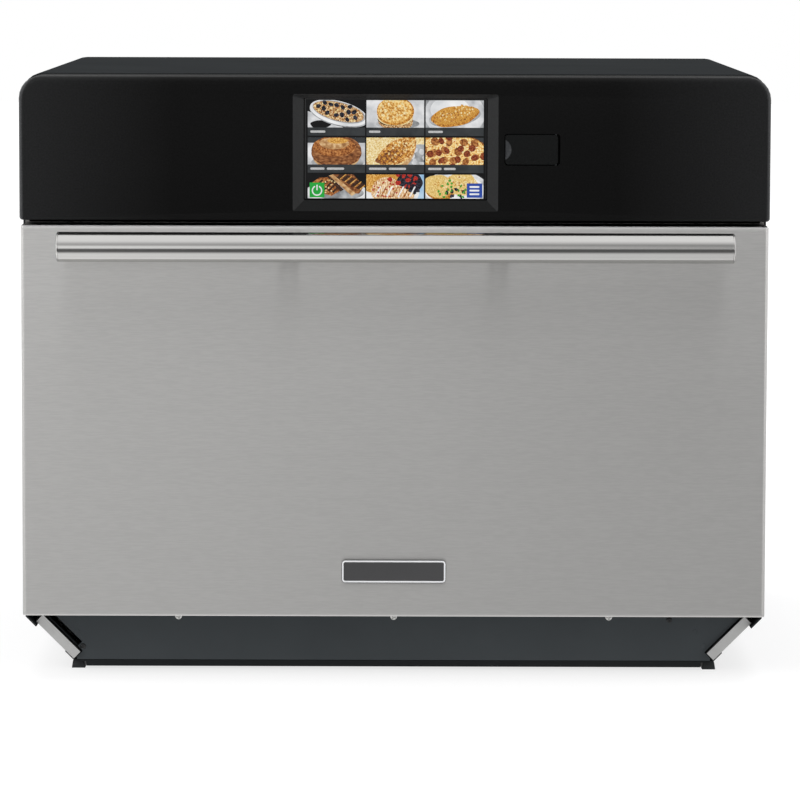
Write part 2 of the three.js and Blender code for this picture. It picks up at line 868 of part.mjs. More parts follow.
function wireRack() {
  const railX = cavityHalf - rackSideGap - rackRodRadius;
  const z = rackLedgeZ + seatGap + rackRodRadius;
  const front = cavityFrontY + rackFrontInset;
  const rear = cavityRearY - rackRearInset;
  const rails = [-railX, railX].map((x) => rod('y', x, z, rackRodRadius, front, rear, holeSteps));
  const bars = [front + rackRodRadius, (front + rear) / 2, rear - rackRodRadius].map((y) => (
    rod('x', y, z, rackRodRadius, -railX, railX, holeSteps)));
  const pitch = 2 * railX / (rackWires + 1);
  const wires = Array.from({ length: rackWires }, (_, i) => (
    rod('y', (i + 1) * pitch - railX, z + rackRodRadius, rackWireRadius, front, rear, wireSteps)));
  return join(...rails, ...bars, ...wires);
}

// A curve through given points, so that an extrusion gets one ring at each of them.
class Route extends THREE.Curve {
  constructor(points) {
    super();
    this.points = points;
  }

  getPoint(share, target = new THREE.Vector3()) {
    const place = Math.min(Math.max(share, 0), 1) * (this.points.length - 1);
    const start = Math.min(Math.floor(place), this.points.length - 2);
    return target.copy(this.points[start]).lerp(this.points[start + 1], place - start);
  }

  getPointAt(share, target) {
    return this.getPoint(share, target);
  }
}

function tubeAlong(points, radius, ringSides) {
  const ring = circle(0, 0, radius, ringSides).map(([u, v]) => new THREE.Vector2(u, v));
  return solidOf(new THREE.ExtrudeGeometry(new THREE.Shape(ring), {
    steps: points.length - 1, extrudePath: new Route(points), curveSegments: 1,
  }));
}

// Parallel runs joined by half turns, with both ends out through the cavity's rear wall.
function radiantElement() {
  const front = cavityFrontY + elementFrontInset + elementPitch / 2;
  const rear = cavityRearY - elementRearInset - elementPitch / 2;
  const route = [[-elementHalf, linerBackY + elementTail]];
  for (let run = 0; run + 1 < elementRuns; run += 1) {
    const x = run * elementPitch - elementHalf + elementPitch / 2;
    const away = run % 2 === 0;
    route.push(...arc(x, away ? front : rear, elementPitch / 2, 180, away ? 360 : 0, cornerSteps));
  }
  route.push([elementHalf, linerBackY + elementTail]);
  return tubeAlong(route.map(([x, y]) => new THREE.Vector3(x, y, elementZ)), elementRadius, holeSteps);
}

function fanCover() {
  const half = fanCoverHalf;
  const rings = Math.round((fanOpening - fanHoleRadius) / fanHolePitch);
  const [y0, y1] = [cavityRearY - seatGap - fanCoverWall, cavityRearY - seatGap];
  const plate = prism('y', rounded(-half, half, fanZ - half, fanZ + half, fanHoleRadius), y0, y1);
  const holes = [];
  for (let row = -rings; row <= rings; row += 1) {
    const count = 2 * rings + 1 - Math.abs(row);
    for (let i = 0; i < count; i += 1) {
      const x = (i - (count - 1) / 2) * fanHolePitch;
      const z = fanZ + row * fanHolePitch * Math.sqrt(3) / 2;
      holes.push(rod('y', x, z, fanHoleRadius, y0 - overrun, y1 + overrun, holeSteps));
    }
  }
  return cut(plate, ...holes);
}

function fanPlenum() {
  const half = plenumHalf;
  const inner = half - plenumWall;
  return cut(
    box(-half, half, plenumFrontY, plenumBackY, fanZ - half, fanZ + half),
    box(-inner, inner, plenumFrontY - overrun, plenumBackY - plenumWall, fanZ - inner, fanZ + inner),
    rod('y', 0, fanZ, fanShaftRadius + seatGap, plenumBackY - plenumWall - overrun, plenumBackY + overrun),
  );
}

const motorFrontY = plenumBackY + seatGap;

// Curved blades on a disc, with the shaft that runs back into the motor.
function convectionFan() {
  const bladeFront = plenumFrontY + fanRunGap;
  const discFront = bladeFront + fanBladeHeight;
  const blades = Array.from({ length: fanBlades }, (_, i) => {
    const outer = arc(0, 0, fanBladeLength, 0, fanBladeSweep, cornerSteps - 2);
    const inner = arc(0, 0, fanBladeLength - fanBladeWall, fanBladeSweep, 0, cornerSteps - 2);
    const blade = prism('y', [...outer, ...inner], bladeFront, discFront + fanDiscWall / 2);
    const placed = move(blade, fanRadius - 2 * fanBladeLength + fanBladeWall, 0, 0);
    return move(turn(placed, 0, i * 360 / fanBlades, 0), 0, 0, fanZ);
  });
  const disc = rod('y', 0, fanZ, fanRadius, discFront, discFront + fanDiscWall);
  const hub = rod('y', 0, fanZ, fanHubRadius, bladeFront, discFront + fanDiscWall);
  const shaft = rod('y', 0, fanZ, fanShaftRadius, discFront, motorFrontY + motorBore - fanRunGap);
  return join(disc, hub, shaft, ...blades);
}

function fanMotor() {
  const half = motorFlangeHalf;
  const flange = prism('y', rounded(-half, half, fanZ - half, fanZ + half, fanHubRadius),
    motorFrontY, motorFrontY + sheetWall);
  const can = rod('y', 0, fanZ, motorRadius, motorFrontY, motorFrontY + motorLength);
  return cut(join(flange, can),
    rod('y', 0, fanZ, fanShaftRadius + seatGap, motorFrontY - overrun, motorFrontY + motorBore));
}

const heart = group(oven);
piece(heart, 'cavity_liner', cavityLiner(), finishes.cavitySteel);
piece(heart, 'cavity_insulation', cavityInsulation(), finishes.fibre);
piece(heart, 'cavity_lamp', cavityLamp(), finishes.glass);
piece(heart, 'ceramic_floor', ceramicFloor(), finishes.ceramic);
piece(heart, 'wire_rack', wireRack(), finishes.polished);
piece(heart, 'radiant_element', radiantElement(), finishes.heater);
piece(heart, 'fan_cover', fanCover(), finishes.cavitySteel);
piece(heart, 'fan_plenum', fanPlenum(), finishes.galvanized);
piece(heart, 'convection_fan', convectionFan(), finishes.galvanized);
piece(heart, 'fan_motor', fanMotor(), finishes.galvanized);

// Microwave feed under the cavity floor

const magnetronFrontY = plenumBackY + magnetronStubRadius;
const ductBackY = magnetronFrontY + magnetronDepth + guideDuctWall;
const magnetronX = motorFlangeHalf + magnetronSideGap + magnetronWidth / 2;
const magnetronY = magnetronFrontY + magnetronDepth / 2;
const stirrerHubZ = ductBottomZ + guideDuctWall + stirrerLift;

function waveguide() {
  const half = magnetronX + magnetronStubRadius + guideDuctSide;
  const inner = half - guideDuctWall;
  const front = stirrerY - guideDuctFront;
  return cut(
    box(-half, half, front, ductBackY, ductBottomZ, ductTopZ),
    box(-inner, inner, front + guideDuctWall, ductBackY - guideDuctWall,
      ductBottomZ + guideDuctWall, ductTopZ - guideDuctWall),
    rod('z', 0, stirrerY, stirrerWellRadius, ductTopZ - guideDuctWall - overrun, ductTopZ + overrun),
    rod('z', 0, stirrerY, stirrerShaftRadius + seatGap, ductBottomZ - overrun,
      ductBottomZ + guideDuctWall + overrun),
    ...sides.map(([, side]) => rod('z', side * magnetronX, magnetronY, magnetronStubRadius + seatGap,
      ductTopZ - guideDuctWall - overrun, ductTopZ + overrun)),
  );
}

function stirrer() {
  const blades = Array.from({ length: stirrerBlades }, (_, i) => turn(
    prism('z', rounded(0, stirrerRadius, -stirrerBladeWidth / 2, stirrerBladeWidth / 2,
      stirrerBladeWidth / 4, stirrerBladeWidth / 4, coarseSteps), stirrerHubZ, stirrerHubZ + stirrerWall),
    0, 0, i * 360 / stirrerBlades));
  const hubTop = stirrerHubZ + stirrerHubRadius;
  const shaftEnd = ductBottomZ - stirrerMotorHeight / 2;
  return move(join(
    rod('z', 0, 0, stirrerHubRadius, stirrerHubZ, hubTop),
    rod('z', 0, 0, stirrerShaftRadius, shaftEnd, stirrerHubZ + stirrerWall),
    ...blades,
  ), 0, stirrerY, 0);
}

function stirrerMotor() {
  const top = ductBottomZ - seatGap;
  return cut(
    rod('z', 0, stirrerY, stirrerMotorRadius, top - stirrerMotorHeight, top),
    rod('z', 0, stirrerY, stirrerShaftRadius + seatGap, ductBottomZ - stirrerMotorHeight / 2 - stirrerLift,
      top + overrun),
  );
}

// A valve in its cooling fins, between two yoke plates, with its antenna stub below.
function magnetron() {
  const [halfX, halfY] = [magnetronWidth / 2, magnetronDepth / 2];
  const plate = magnetronPlateWall;
  const finPitch = (magnetronHeight - 2 * plate) / (magnetronFins + 1);
  const fins = Array.from({ length: magnetronFins }, (_, i) => {
    const z = plate + (i + 1) * finPitch;
    return box(-halfX, halfX, -halfY, halfY, z - magnetronFinWall / 2, z + magnetronFinWall / 2);
  });
  return join(
    box(-halfX, halfX, -halfY, halfY, 0, plate),
    box(-halfX, halfX, -halfY, halfY, magnetronHeight - plate, magnetronHeight),
    rod('z', 0, 0, magnetronCoreRadius, 0, magnetronHeight, holeSteps),
    rod('z', 0, 0, magnetronStubRadius, -magnetronStubReach, plate, smallSteps),
    ...fins,
  );
}

function transformer() {
  const [halfX, halfY] = [transformerWidth / 2, transformerDepth / 2];
  const core = box(-halfX, halfX, transformerCoilOverhang - halfY, halfY - transformerCoilOverhang,
    0, transformerHeight);
  const coil = prism('z', rounded(transformerCoilInset - halfX, halfX - transformerCoilInset, -halfY, halfY,
    transformerCoilRadius), transformerCoilInset, transformerHeight - transformerCoilInset);
  return join(core, coil);
}

function capacitor() {
  const [halfX, halfY] = [capacitorWidth / 2, capacitorDepth / 2];
  const tabHalf = capacitorTab / 2;
  const tabs = [-1, 1].map((side) => box(-capacitorTabWall / 2, capacitorTabWall / 2,
    side * halfY / 2 - tabHalf, side * halfY / 2 + tabHalf,
    capacitorHeight - tabHalf, capacitorHeight + capacitorTab));
  return join(
    prism('z', rounded(-halfX, halfX, -halfY, halfY, capacitorRound), 0, capacitorHeight),
    ...tabs,
  );
}

// Cooling blower: a volute with a spindle, and the bladed wheel that turns on it

const blowerY = rearY - blowerRearInset;
const powerY = rearY - powerRearInset;
const capacitorX = baseHalf - capacitorInset;
const transformerX = capacitorX - transformerPitch;

function scrollOutline(inset) {
  const points = [];
  const steps = roundSteps;
  for (let i = 0; i <= steps; i += 1) {
    const angle = 2 * Math.PI * i / steps;
    const radius = blowerRadius + blowerRunGap + scrollWall + scrollGrowth * i / steps - inset;
    points.push([radius * Math.cos(angle), radius * Math.sin(angle)]);
  }
  return points;
}

function blowerHousing() {
  const outletX = blowerRadius + blowerRunGap + scrollWall;
  const outer = prism('z', scrollOutline(0), 0, scrollHeight);
  const hollow = prism('z', scrollOutline(scrollWall), scrollWall, scrollHeight - scrollWall);
  const inlet = rod('z', 0, 0, blowerRadius - blowerBladeDepth, scrollHeight - scrollWall - overrun,
    scrollHeight + overrun);
  const outlet = box(outletX - scrollGrowth, outletX + scrollGrowth, -outletLap, outletLap,
    scrollWall, scrollHeight - scrollWall);
  return join(
    cut(outer, hollow, inlet, outlet),
    rod('z', 0, 0, blowerSpindleRadius, 0, scrollHeight - scrollWall - blowerRunGap, smallSteps),
  );
}

function blowerWheel() {
  const floorZ = scrollWall + blowerRunGap;
  const topZ = floorZ + blowerHeight;
  const blades = Array.from({ length: blowerBlades }, (_, i) => turn(
    box(blowerRadius - blowerBladeDepth, blowerRadius - blowerBladeWall,
      -blowerBladeWall / 2, blowerBladeWall / 2, floorZ, topZ), 0, 0, i * 360 / blowerBlades));
  const bore = rod('z', 0, 0, blowerSpindleRadius + seatGap, floorZ - overrun, topZ + overrun, smallSteps);
  return cut(join(
    rod('z', 0, 0, blowerRadius, floorZ, floorZ + blowerRing),
    tube('z', 0, 0, blowerRadius, blowerRadius - blowerBladeDepth, topZ - blowerRing, topZ),
    rod('z', 0, 0, blowerHubRadius, floorZ, floorZ + blowerHeight / 2, smallSteps),
    ...blades,
  ), bore);
}

const power = group(oven);
piece(power, 'waveguide', waveguide(), finishes.galvanized);
piece(power, 'stirrer', stirrer(), finishes.aluminium);
piece(power, 'stirrer_motor', stirrerMotor(), finishes.galvanized);
piece(power, 'blower_housing', blowerHousing(), finishes.galvanized, 0, blowerY, deckZ);
piece(power, 'blower_wheel', blowerWheel(), finishes.galvanized, 0, blowerY, deckZ);
sides.forEach(([name, side]) => {
  piece(power, `magnetron_${name}`, magnetron(), finishes.aluminium,
    side * magnetronX, magnetronY, ductTopZ + seatGap);
  piece(power, `transformer_${name}`, transformer(), finishes.copper,
    side * transformerX, powerY, deckZ);
  piece(power, `capacitor_${name}`, capacitor(), finishes.aluminium,
    side * capacitorX, powerY, deckZ);
});

// Door, with its hinges and latches

const doorWidthInside = doorHalf - doorSkinWall - seatGap;
const plateFrontY = doorBackY - doorPlateWall;
const skinInnerY = doorFaceY + doorSkinWall;

function doorOutline(inset) {
  return rounded(inset - doorHalf, doorHalf - inset, doorBottomZ + inset, doorTopZ - inset,
    doorCornerRadius, doorCornerRadius, coarseSteps);
}

// What the door's lower back edge must leave free, so that it clears the cabinet as it swings.
function sweepCutter() {
  const reach = 2 * doorSweepRadius;
  return cut(
    box(-bodyHalf, bodyHalf, hingeY, hingeY + reach, hingeZ - reach, hingeZ),
    rod('x', hingeY, hingeZ, doorSweepRadius, -bodyHalf - overrun, bodyHalf + overrun, 2 * roundSteps),
  );
}

// Slots for the two hinge brackets, open to the back and the bottom of the door.
function bracketSlots() {
  const half = bracketWall / 2 + slotClearance;
  const reach = bracketNose + slotClearance;
  return sides.map(([, side]) => box(side * hingeX - half, side * hingeX + half,
    hingeY - reach, doorBackY + overrun, doorBottomZ - overrun, hingeZ + reach));
}

function doorSkin() {
  const rings = edgeRings(doorFaceY, doorEdgeRadius, (share) => (
    doorOutline(doorEdgeRadius * share)), doorEdgeSteps);
  const skin = loftY([...rings.reverse(), { y: doorBackY, points: doorOutline(0) }]);
  const inner = doorHalf - doorSkinWall;
  return cut(
    skin,
    box(-inner, inner, skinInnerY, doorBackY + overrun,
      doorBottomZ + doorSkinWall, doorTopZ - doorSkinWall),
    sweepCutter(),
    ...bracketSlots(),
  );
}

// The inner plate: a dished middle, and round it the slotted channel that holds the microwaves.
function doorInner() {
  const top = doorTopZ - doorSkinWall - seatGap;
  const bottom = hingeZ - bracketNose;
  const plate = box(-doorWidthInside, doorWidthInside, plateFrontY, doorBackY, bottom, top);
  const chokeHalf = cavityHalf + chokeMargin;
  const [chokeLow, chokeHigh] = [cavityFloorZ - chokeMargin, cavityRoofZ + chokeMargin];
  const ring = (inset, y0, y1) => box(inset - chokeHalf, chokeHalf - inset, y0, y1,
    chokeLow + inset, chokeHigh - inset);
  const channel = cut(
    ring(0, doorBackY - chokeDepth, doorBackY - doorPlateWall / 2),
    ring(chokeWidth, doorBackY - chokeDepth - overrun, doorBackY),
    cut(
      ring(chokeWall, doorBackY - chokeDepth + chokeWall, doorBackY),
      ring(chokeWidth - chokeWall, doorBackY - chokeDepth, doorBackY + overrun),
    ),
  );
  const slot = cut(
    ring(chokeWidth / 2, plateFrontY - chokeWall, doorBackY + overrun),
    ring(chokeWidth / 2 + chokeSlot, plateFrontY - chokeWall - overrun, doorBackY + 2 * overrun),
  );
  const middle = (inset) => rounded(
    chokeWidth + inset - chokeHalf, chokeHalf - chokeWidth - inset,
    chokeLow + chokeWidth + inset, chokeHigh - chokeWidth - inset, dishSlope, dishSlope, coarseSteps);
  const dish = (shift) => loftY([
    { y: doorBackY - dishDepth + shift, points: middle(dishSlope) },
    { y: doorBackY + shift, points: middle(0) },
  ]);
  const pan = cut(dish(-doorPlateWall / 2), dish(doorPlateWall / 2));
  const plateOpening = prism('y', middle(chokeWall), plateFrontY - overrun, doorBackY + overrun);
  return cut(
    join(cut(plate, plateOpening, slot), channel, pan),
    sweepCutter(),
    ...bracketSlots(),
  );
}

function doorSeal() {
  const half = cavityHalf + chokeMargin;
  const outer = [half, cavityFloorZ - chokeMargin, cavityRoofZ + chokeMargin];
  const band = (inset) => rounded(inset - outer[0], outer[0] - inset,
    outer[1] + inset, outer[2] - inset, sealWidth - inset / 2, sealWidth - inset / 2, seamSteps);
  const [y0, y1] = [doorBackY + seatGap, doorBackY + doorBackGap - seatGap];
  return cut(prism('y', band(0), y0, y1), prism('y', band(sealWidth), y0 - overrun, y1 + overrun));
}

function doorInsulation() {
  const half = cavityHalf + chokeMargin;
  return box(-half, half, skinInnerY + seatGap, doorBackY - chokeDepth - seatGap,
    cavityFloorZ - chokeMargin, cavityRoofZ + chokeMargin);
}

const armOffset = bracketWall + hingeSideGap;

// The fixed half of a hinge: a plate with a tail in the cabinet and a round nose, which carries
// the riveted pin towards the oven's middle.
function hingeBracket(side) {
  const nose = arc(hingeY, hingeZ, bracketNose, 90, 270, cornerSteps + 2);
  const tail = cabinetFrontY + bracketTail;
  const plate = prism('x', [...nose, [tail, hingeZ - bracketNose], [tail, hingeZ + bracketNose]],
    -bracketWall / 2, bracketWall / 2);
  const pinEnd = armOffset + bracketWall / 2 + hingeSideGap;
  const pin = rod('x', hingeY, hingeZ, pinRadius, 0, pinEnd);
  const head = rod('x', hingeY, hingeZ, pinHeadRadius, pinEnd, pinEnd + pinHeadWall);
  const whole = join(plate, pin, head);
  return side > 0 ? whole.mirror([1, 0, 0]) : whole;
}

// The moving half: an arm that stands up inside the door against its front.
function hingeArm() {
  const front = skinInnerY + seatGap;
  const nose = arc(hingeY, hingeZ, bracketNose, 180, 360, cornerSteps + 2);
  const plate = prism('x', [
    [front, hingeZ],
    ...nose,
    [hingeY + bracketNose, hingeZ + armHeight - bracketNose],
    [hingeY, hingeZ + armHeight],
    [front, hingeZ + armHeight],
  ], -bracketWall / 2, bracketWall / 2);
  return cut(plate, rod('x', hingeY, hingeZ, pinRadius + seatGap, -overrun - bracketWall,
    overrun + bracketWall));
}

function latchHook() {
  const flangeY = doorBackY + seatGap;
  const tipY = flangeY + latchReach;
  const flangeHalf = latchWall / 2 + latchFlangeRim;
  const hook = prism('x', [
    [flangeY, latchZ],
    [tipY, latchZ],
    [tipY, latchZ + latchHeight],
    [tipY - latchTip, latchZ + latchHeight + latchTip],
    [tipY - 2 * latchTip, latchZ + latchHeight],
    [flangeY, latchZ + latchHeight],
  ], -latchWall / 2, latchWall / 2);
  const flange = box(-flangeHalf, flangeHalf, flangeY, flangeY + latchFlange,
    latchZ - latchFlangeRim, latchZ + latchHeight + latchFlangeRim);
  return join(hook, flange);
}

function interlock() {
  const z = latchZ + latchHeight + latchLiftGap;
  return box(-switchWidth / 2, switchWidth / 2, frameBackY + seatGap,
    frameBackY + seatGap + switchDepth, z, z + switchHeight);
}

function nameplate() {
  const y1 = doorFaceY - seatGap;
  return prism('y', rounded(-nameplateWidth / 2, nameplateWidth / 2,
    nameplateZ - nameplateHeight / 2, nameplateZ + nameplateHeight / 2, nameplateRadius),
  y1 - nameplateWall, y1);
}

function handleBar() {
  return tube('x', handleY, handleZ, handleRadius, handleRadius - handleWall,
    handleShift - handleHalf, handleShift + handleHalf);
}

// A domed disc with a plug that sits inside the bar's end.
function handleCap() {
  const plugRadius = handleRadius - handleWall - seatGap;
  const profile = [
    [0, -capPlug],
    [plugRadius, -capPlug],
    [plugRadius, seatGap],
    [handleRadius, seatGap],
    [handleRadius, capRim],
    [handleRadius - capDome, capRim + capDome * capShoulderShare],
    [handleRadius / 2, capRim + capDome],
    [0, capRim + capDome],
  ];
  return turned(profile);
}

function handlePost() {
  const post = join(
    rod('y', 0, handleZ, postRadius, handleY, doorFaceY - seatGap),
    rod('y', 0, handleZ, postBaseRadius, doorFaceY - seatGap - postBaseHeight, doorFaceY - seatGap),
  );
  return cut(post, rod('x', handleY, handleZ, handleRadius + seatGap,
    -postBaseRadius - overrun, postBaseRadius + overrun, 2 * roundSteps));
}

const door = group(oven);
piece(door, 'door_skin', doorSkin(), finishes.brushed);
piece(door, 'door_inner', doorInner(), finishes.cavitySteel);
piece(door, 'door_seal', doorSeal(), finishes.fibre);
piece(door, 'door_insulation', doorInsulation(), finishes.fibre);
piece(door, 'nameplate', nameplate(), finishes.greyPlastic);
piece(door, 'handle_bar', handleBar(), finishes.brushed);
sides.forEach(([name, side]) => {
  const cap = piece(door, `handle_cap_${name}`, handleCap(), finishes.brushed,
    handleShift + side * handleHalf, handleY, handleZ);
  cap.rotation.y = side * Math.PI / 2;
  piece(door, `handle_post_${name}`, handlePost(), finishes.brushed, side * postSpacing / 2, 0, 0);
  piece(door, `latch_hook_${name}`, latchHook(), finishes.polished, side * latchX, 0, 0);
  piece(door, `hinge_arm_${name}`, hingeArm(), finishes.galvanized,
    side * (hingeX - armOffset), 0, 0);
  piece(cabinet, `hinge_bracket_${name}`, hingeBracket(side), finishes.galvanized,
    side * hingeX, 0, 0);
  piece(cabinet, `interlock_${name}`, interlock(), finishes.greyPlastic, side * latchX, 0, 0);
});

// Control panel

const windowHalf = screenWindowWidth / 2;
const screenWindowZ = panelBottomZ + screenLift;
const windowTopZ = screenWindowZ + screenWindowHeight;
const flapX = screenX + windowHalf + screenBevel + flapSide + flapWidth / 2;
const flapZ = panelBottomZ + flapLift;
const flapAxisX = flapX + flapWidth / 2 - flapHingeInset;
const flapAxisY = doorFaceY + flapWall - flapPinRadius;
const glassFrontY = doorFaceY + screenPocketDepth + panelBottomRound + seatGap;
const displayFrontY = glassFrontY + glassWall + seatGap;

function panelOutline(share) {
  const sideInset = panelSideRound * share;
  return rounded(sideInset - bodyHalf, bodyHalf - sideInset,
    panelBottomZ + panelBottomRound * share, panelTopZ - panelTopRound * share,
    panelCornerRadius - panelTopRound * share,
    panelLowerRadius + panelBottomRound * (1 - share), cornerSteps);
}

function flapOpening() {
  return [
    flapX - flapWidth / 2 - flapGap,
    flapX + flapWidth / 2 + flapHingeGap,
    flapZ - flapHeight / 2 - flapGap,
    flapZ + flapHeight / 2 + flapGap,
  ];
}

function controlPanel() {
  const backY = cabinetFrontY - panelBackInset;
  const innerHalf = bodyHalf - panelWall;
  const rings = edgeRings(doorFaceY, panelTopRound, panelOutline, panelEdgeSteps);
  const body = loftY([...rings.reverse(), { y: backY, points: panelOutline(0) }]);
  const frontY = doorFaceY + panelWall;
  const hollow = prism('y', rounded(-innerHalf, innerHalf, panelBottomZ + panelWall,
    panelTopZ - panelWall, panelCornerRadius - panelWall, panelLowerRadius),
  frontY + panelWall, backY + overrun);
  const pocketHalf = windowHalf + screenBevel;
  const pocketFloorY = doorFaceY + screenPocketDepth;
  const bossBackY = displayFrontY + displayInset;
  const screenBoss = box(
    screenX - pocketHalf - screenBossWall, screenX + pocketHalf + screenBossWall,
    frontY, bossBackY,
    screenWindowZ - screenBevel - screenBossWall, windowTopZ + screenBevelTop + screenBossWall);
  const mouth = rounded(screenX - pocketHalf, screenX + pocketHalf,
    screenWindowZ - screenBevel, windowTopZ + screenBevelTop, screenBossWall, screenBossWall, coarseSteps);
  const throat = rounded(screenX - windowHalf, screenX + windowHalf,
    screenWindowZ, windowTopZ, screenBossWall / 2, screenBossWall / 2, coarseSteps);
  const pocket = loftY([
    { y: doorFaceY - overrun, points: mouth },
    { y: doorFaceY, points: mouth },
    { y: pocketFloorY, points: throat },
    { y: bossBackY + overrun, points: throat },
  ]);
  const seat = glassMargin + seatGap;
  const glassSeat = box(screenX - windowHalf - seat, screenX + windowHalf + seat,
    glassFrontY - seatGap, bossBackY + overrun, screenWindowZ - seat, windowTopZ + seat);
  const [u0, u1, v0, v1] = flapOpening();
  const flapBoss = box(u0 - panelWall, u1 + panelWall, frontY,
    doorFaceY + usbPocketDepth + panelWall, v0 - panelWall, v1 + panelWall);
  const flapHole = prism('y', rounded(u0, u1, v0, v1, flapRadius),
    doorFaceY - overrun, doorFaceY + usbPocketDepth);
  const pinHoles = rod('z', flapAxisX, flapAxisY, flapPinRadius + seatGap,
    v0 - flapPinReach, v1 + flapPinReach, smallSteps);
  return cut(join(cut(body, hollow), screenBoss, flapBoss), pocket, glassSeat, flapHole, pinHoles);
}

function touchGlass() {
  return box(screenX - windowHalf - glassMargin, screenX + windowHalf + glassMargin,
    glassFrontY, glassFrontY + glassWall, screenWindowZ - glassMargin, windowTopZ + glassMargin);
}

function displayModule() {
  return box(screenX - windowHalf, screenX + windowHalf, displayFrontY, displayFrontY + displayDepth,
    screenWindowZ, windowTopZ);
}

// The flap, made about its hinge axis, with two pins and a round notch for the thumb.
function usbFlap() {
  const left = flapHingeInset - flapWidth;
  const frontY = flapPinRadius - flapWall;
  const plate = prism('y', rounded(left, flapHingeInset, -flapHeight / 2, flapHeight / 2, flapRadius),
    frontY, flapPinRadius);
  const notch = turned([
    [0, -scoopDepth],
    [scoopRadius - scoopSlope, -scoopDepth],
    [scoopRadius, 0],
    [scoopRadius, overrun],
    [0, overrun],
  ]);
  const scoop = move(turn(notch, 90, 0, 0), left + scoopWidth - scoopRadius, frontY, 0);
  const pinEnd = flapHeight / 2 + flapGap + flapPinReach - seatGap;
  return join(cut(plate, scoop), rod('z', 0, 0, flapPinRadius, -pinEnd, pinEnd, smallSteps));
}

function usbSocket() {
  const backY = doorFaceY + usbPocketDepth - seatGap;
  const body = box(-usbWidth / 2, usbWidth / 2, backY - usbDepth, backY, -usbHeight / 2, usbHeight / 2);
  const port = box(usbPortInset - usbWidth / 2, usbWidth / 2 - usbPortInset,
    backY - usbDepth - overrun, backY - usbPortInset,
    usbPortInset - usbHeight / 2, usbHeight / 2 - usbPortInset);
  return cut(body, port);
}

function controlBoard() {
  const [halfX, halfZ] = [boardWidth / 2, boardHeight / 2];
  const feetY = cabinetFrontY - seatGap;
  const backY = feetY - boardStandoff;
  const frontY = backY - boardWall;
  const inset = 2 * boardStandoffRadius;
  const standoffs = [-1, 1].flatMap((u) => [-1, 1].map((v) => (
    rod('y', u * (halfX - inset), v * (halfZ - inset), boardStandoffRadius, frontY, feetY, smallSteps))));
  const chips = [-1, 0, 1].map((u) => box(
    u * halfX / 2 - boardChipHeight, u * halfX / 2 + boardChipHeight,
    frontY - boardChipHeight / 2, backY, -halfZ / 2, halfZ / 3));
  return join(box(-halfX, halfX, frontY, backY, -halfZ, halfZ), ...standoffs, ...chips);
}

const controls = group(oven);
const boardX = boardInset - bodyHalf;
const boardZ = (panelBottomZ + panelTopZ) / 2;
piece(controls, 'control_panel', controlPanel(), finishes.blackPlastic);
piece(controls, 'touch_glass', touchGlass(), finishes.screen);
piece(controls, 'display_module', displayModule(), finishes.galvanized);
piece(controls, 'usb_flap', usbFlap(), finishes.blackPlastic, flapAxisX, flapAxisY, flapZ);
piece(controls, 'usb_socket', usbSocket(), finishes.polished, flapX, 0, flapZ);
piece(controls, 'control_board', controlBoard(), finishes.circuit, boardX, 0, boardZ);

export default oven;
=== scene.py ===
"""Countertop speed oven: finishes, small parts, floor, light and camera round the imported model.

The model's own frame holds throughout: front at -Y, +Z up, and the origin on the counter. Small
parts are laid out in millimetres, and all else is in metres.
"""

import math
import random

import bmesh
import bpy
from mathutils import Matrix, Vector


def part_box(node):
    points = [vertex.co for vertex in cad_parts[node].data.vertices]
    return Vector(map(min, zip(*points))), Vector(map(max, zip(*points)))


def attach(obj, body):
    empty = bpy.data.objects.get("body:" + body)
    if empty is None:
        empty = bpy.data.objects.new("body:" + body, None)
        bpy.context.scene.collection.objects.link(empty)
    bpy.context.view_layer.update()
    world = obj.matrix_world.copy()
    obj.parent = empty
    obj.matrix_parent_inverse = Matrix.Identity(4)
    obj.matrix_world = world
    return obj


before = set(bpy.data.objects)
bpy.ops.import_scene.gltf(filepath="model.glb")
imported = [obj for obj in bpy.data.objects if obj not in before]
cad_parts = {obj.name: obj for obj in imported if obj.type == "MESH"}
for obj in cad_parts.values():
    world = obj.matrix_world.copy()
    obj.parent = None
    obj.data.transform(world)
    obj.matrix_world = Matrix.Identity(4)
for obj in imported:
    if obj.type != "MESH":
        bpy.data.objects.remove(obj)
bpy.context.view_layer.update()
scene = bpy.context.scene
MM = 0.001
CREASE = 35.0  # degrees from which an edge is sharp


def new_object(name, data):
    obj = bpy.data.objects.new(name, data)
    scene.collection.objects.link(obj)
    return obj


# Shader building

def starter(tree, kind):
    """The node of one type that a new tree comes with."""
    return next(node for node in tree.nodes if node.type == kind)


def new_material(name):
    """A material, its node tree and its main shader."""
    material = bpy.data.materials.new(name)
    material.use_nodes = True
    tree = material.node_tree
    return material, tree, starter(tree, "BSDF_PRINCIPLED")


def linear(rgb):
    """sRGB bytes as a linear colour."""
    shares = [value / 255 for value in rgb]
    return tuple(s / 12.92 if s <= 0.04045 else ((s + 0.055) / 1.055) ** 2.4
                 for s in shares) + (1.0,)


def feed(tree, socket, value):
    """Links a socket to another node's, or sets it to a number, a vector or a colour."""
    if isinstance(value, bpy.types.NodeSocket):
        tree.links.new(value, socket)
    else:
        socket.default_value = value


def put(tree, node, **values):
    """Sets some of a node's properties, and feeds some of its sockets."""
    for key, value in values.items():
        if hasattr(node, key):
            setattr(node, key, value)
        else:
            feed(tree, node.inputs[key.replace("_", " ")], value)
    return node


def add(tree, kind, **values):
    return put(tree, tree.nodes.new(kind), **values)


def coordinates(tree, kind="Object"):
    return tree.nodes.new("ShaderNodeTexCoord").outputs[kind]


def axes(tree, kind="Object"):
    """X, Y and Z of one kind of coordinates, as separate values."""
    return add(tree, "ShaderNodeSeparateXYZ", Vector=coordinates(tree, kind)).outputs


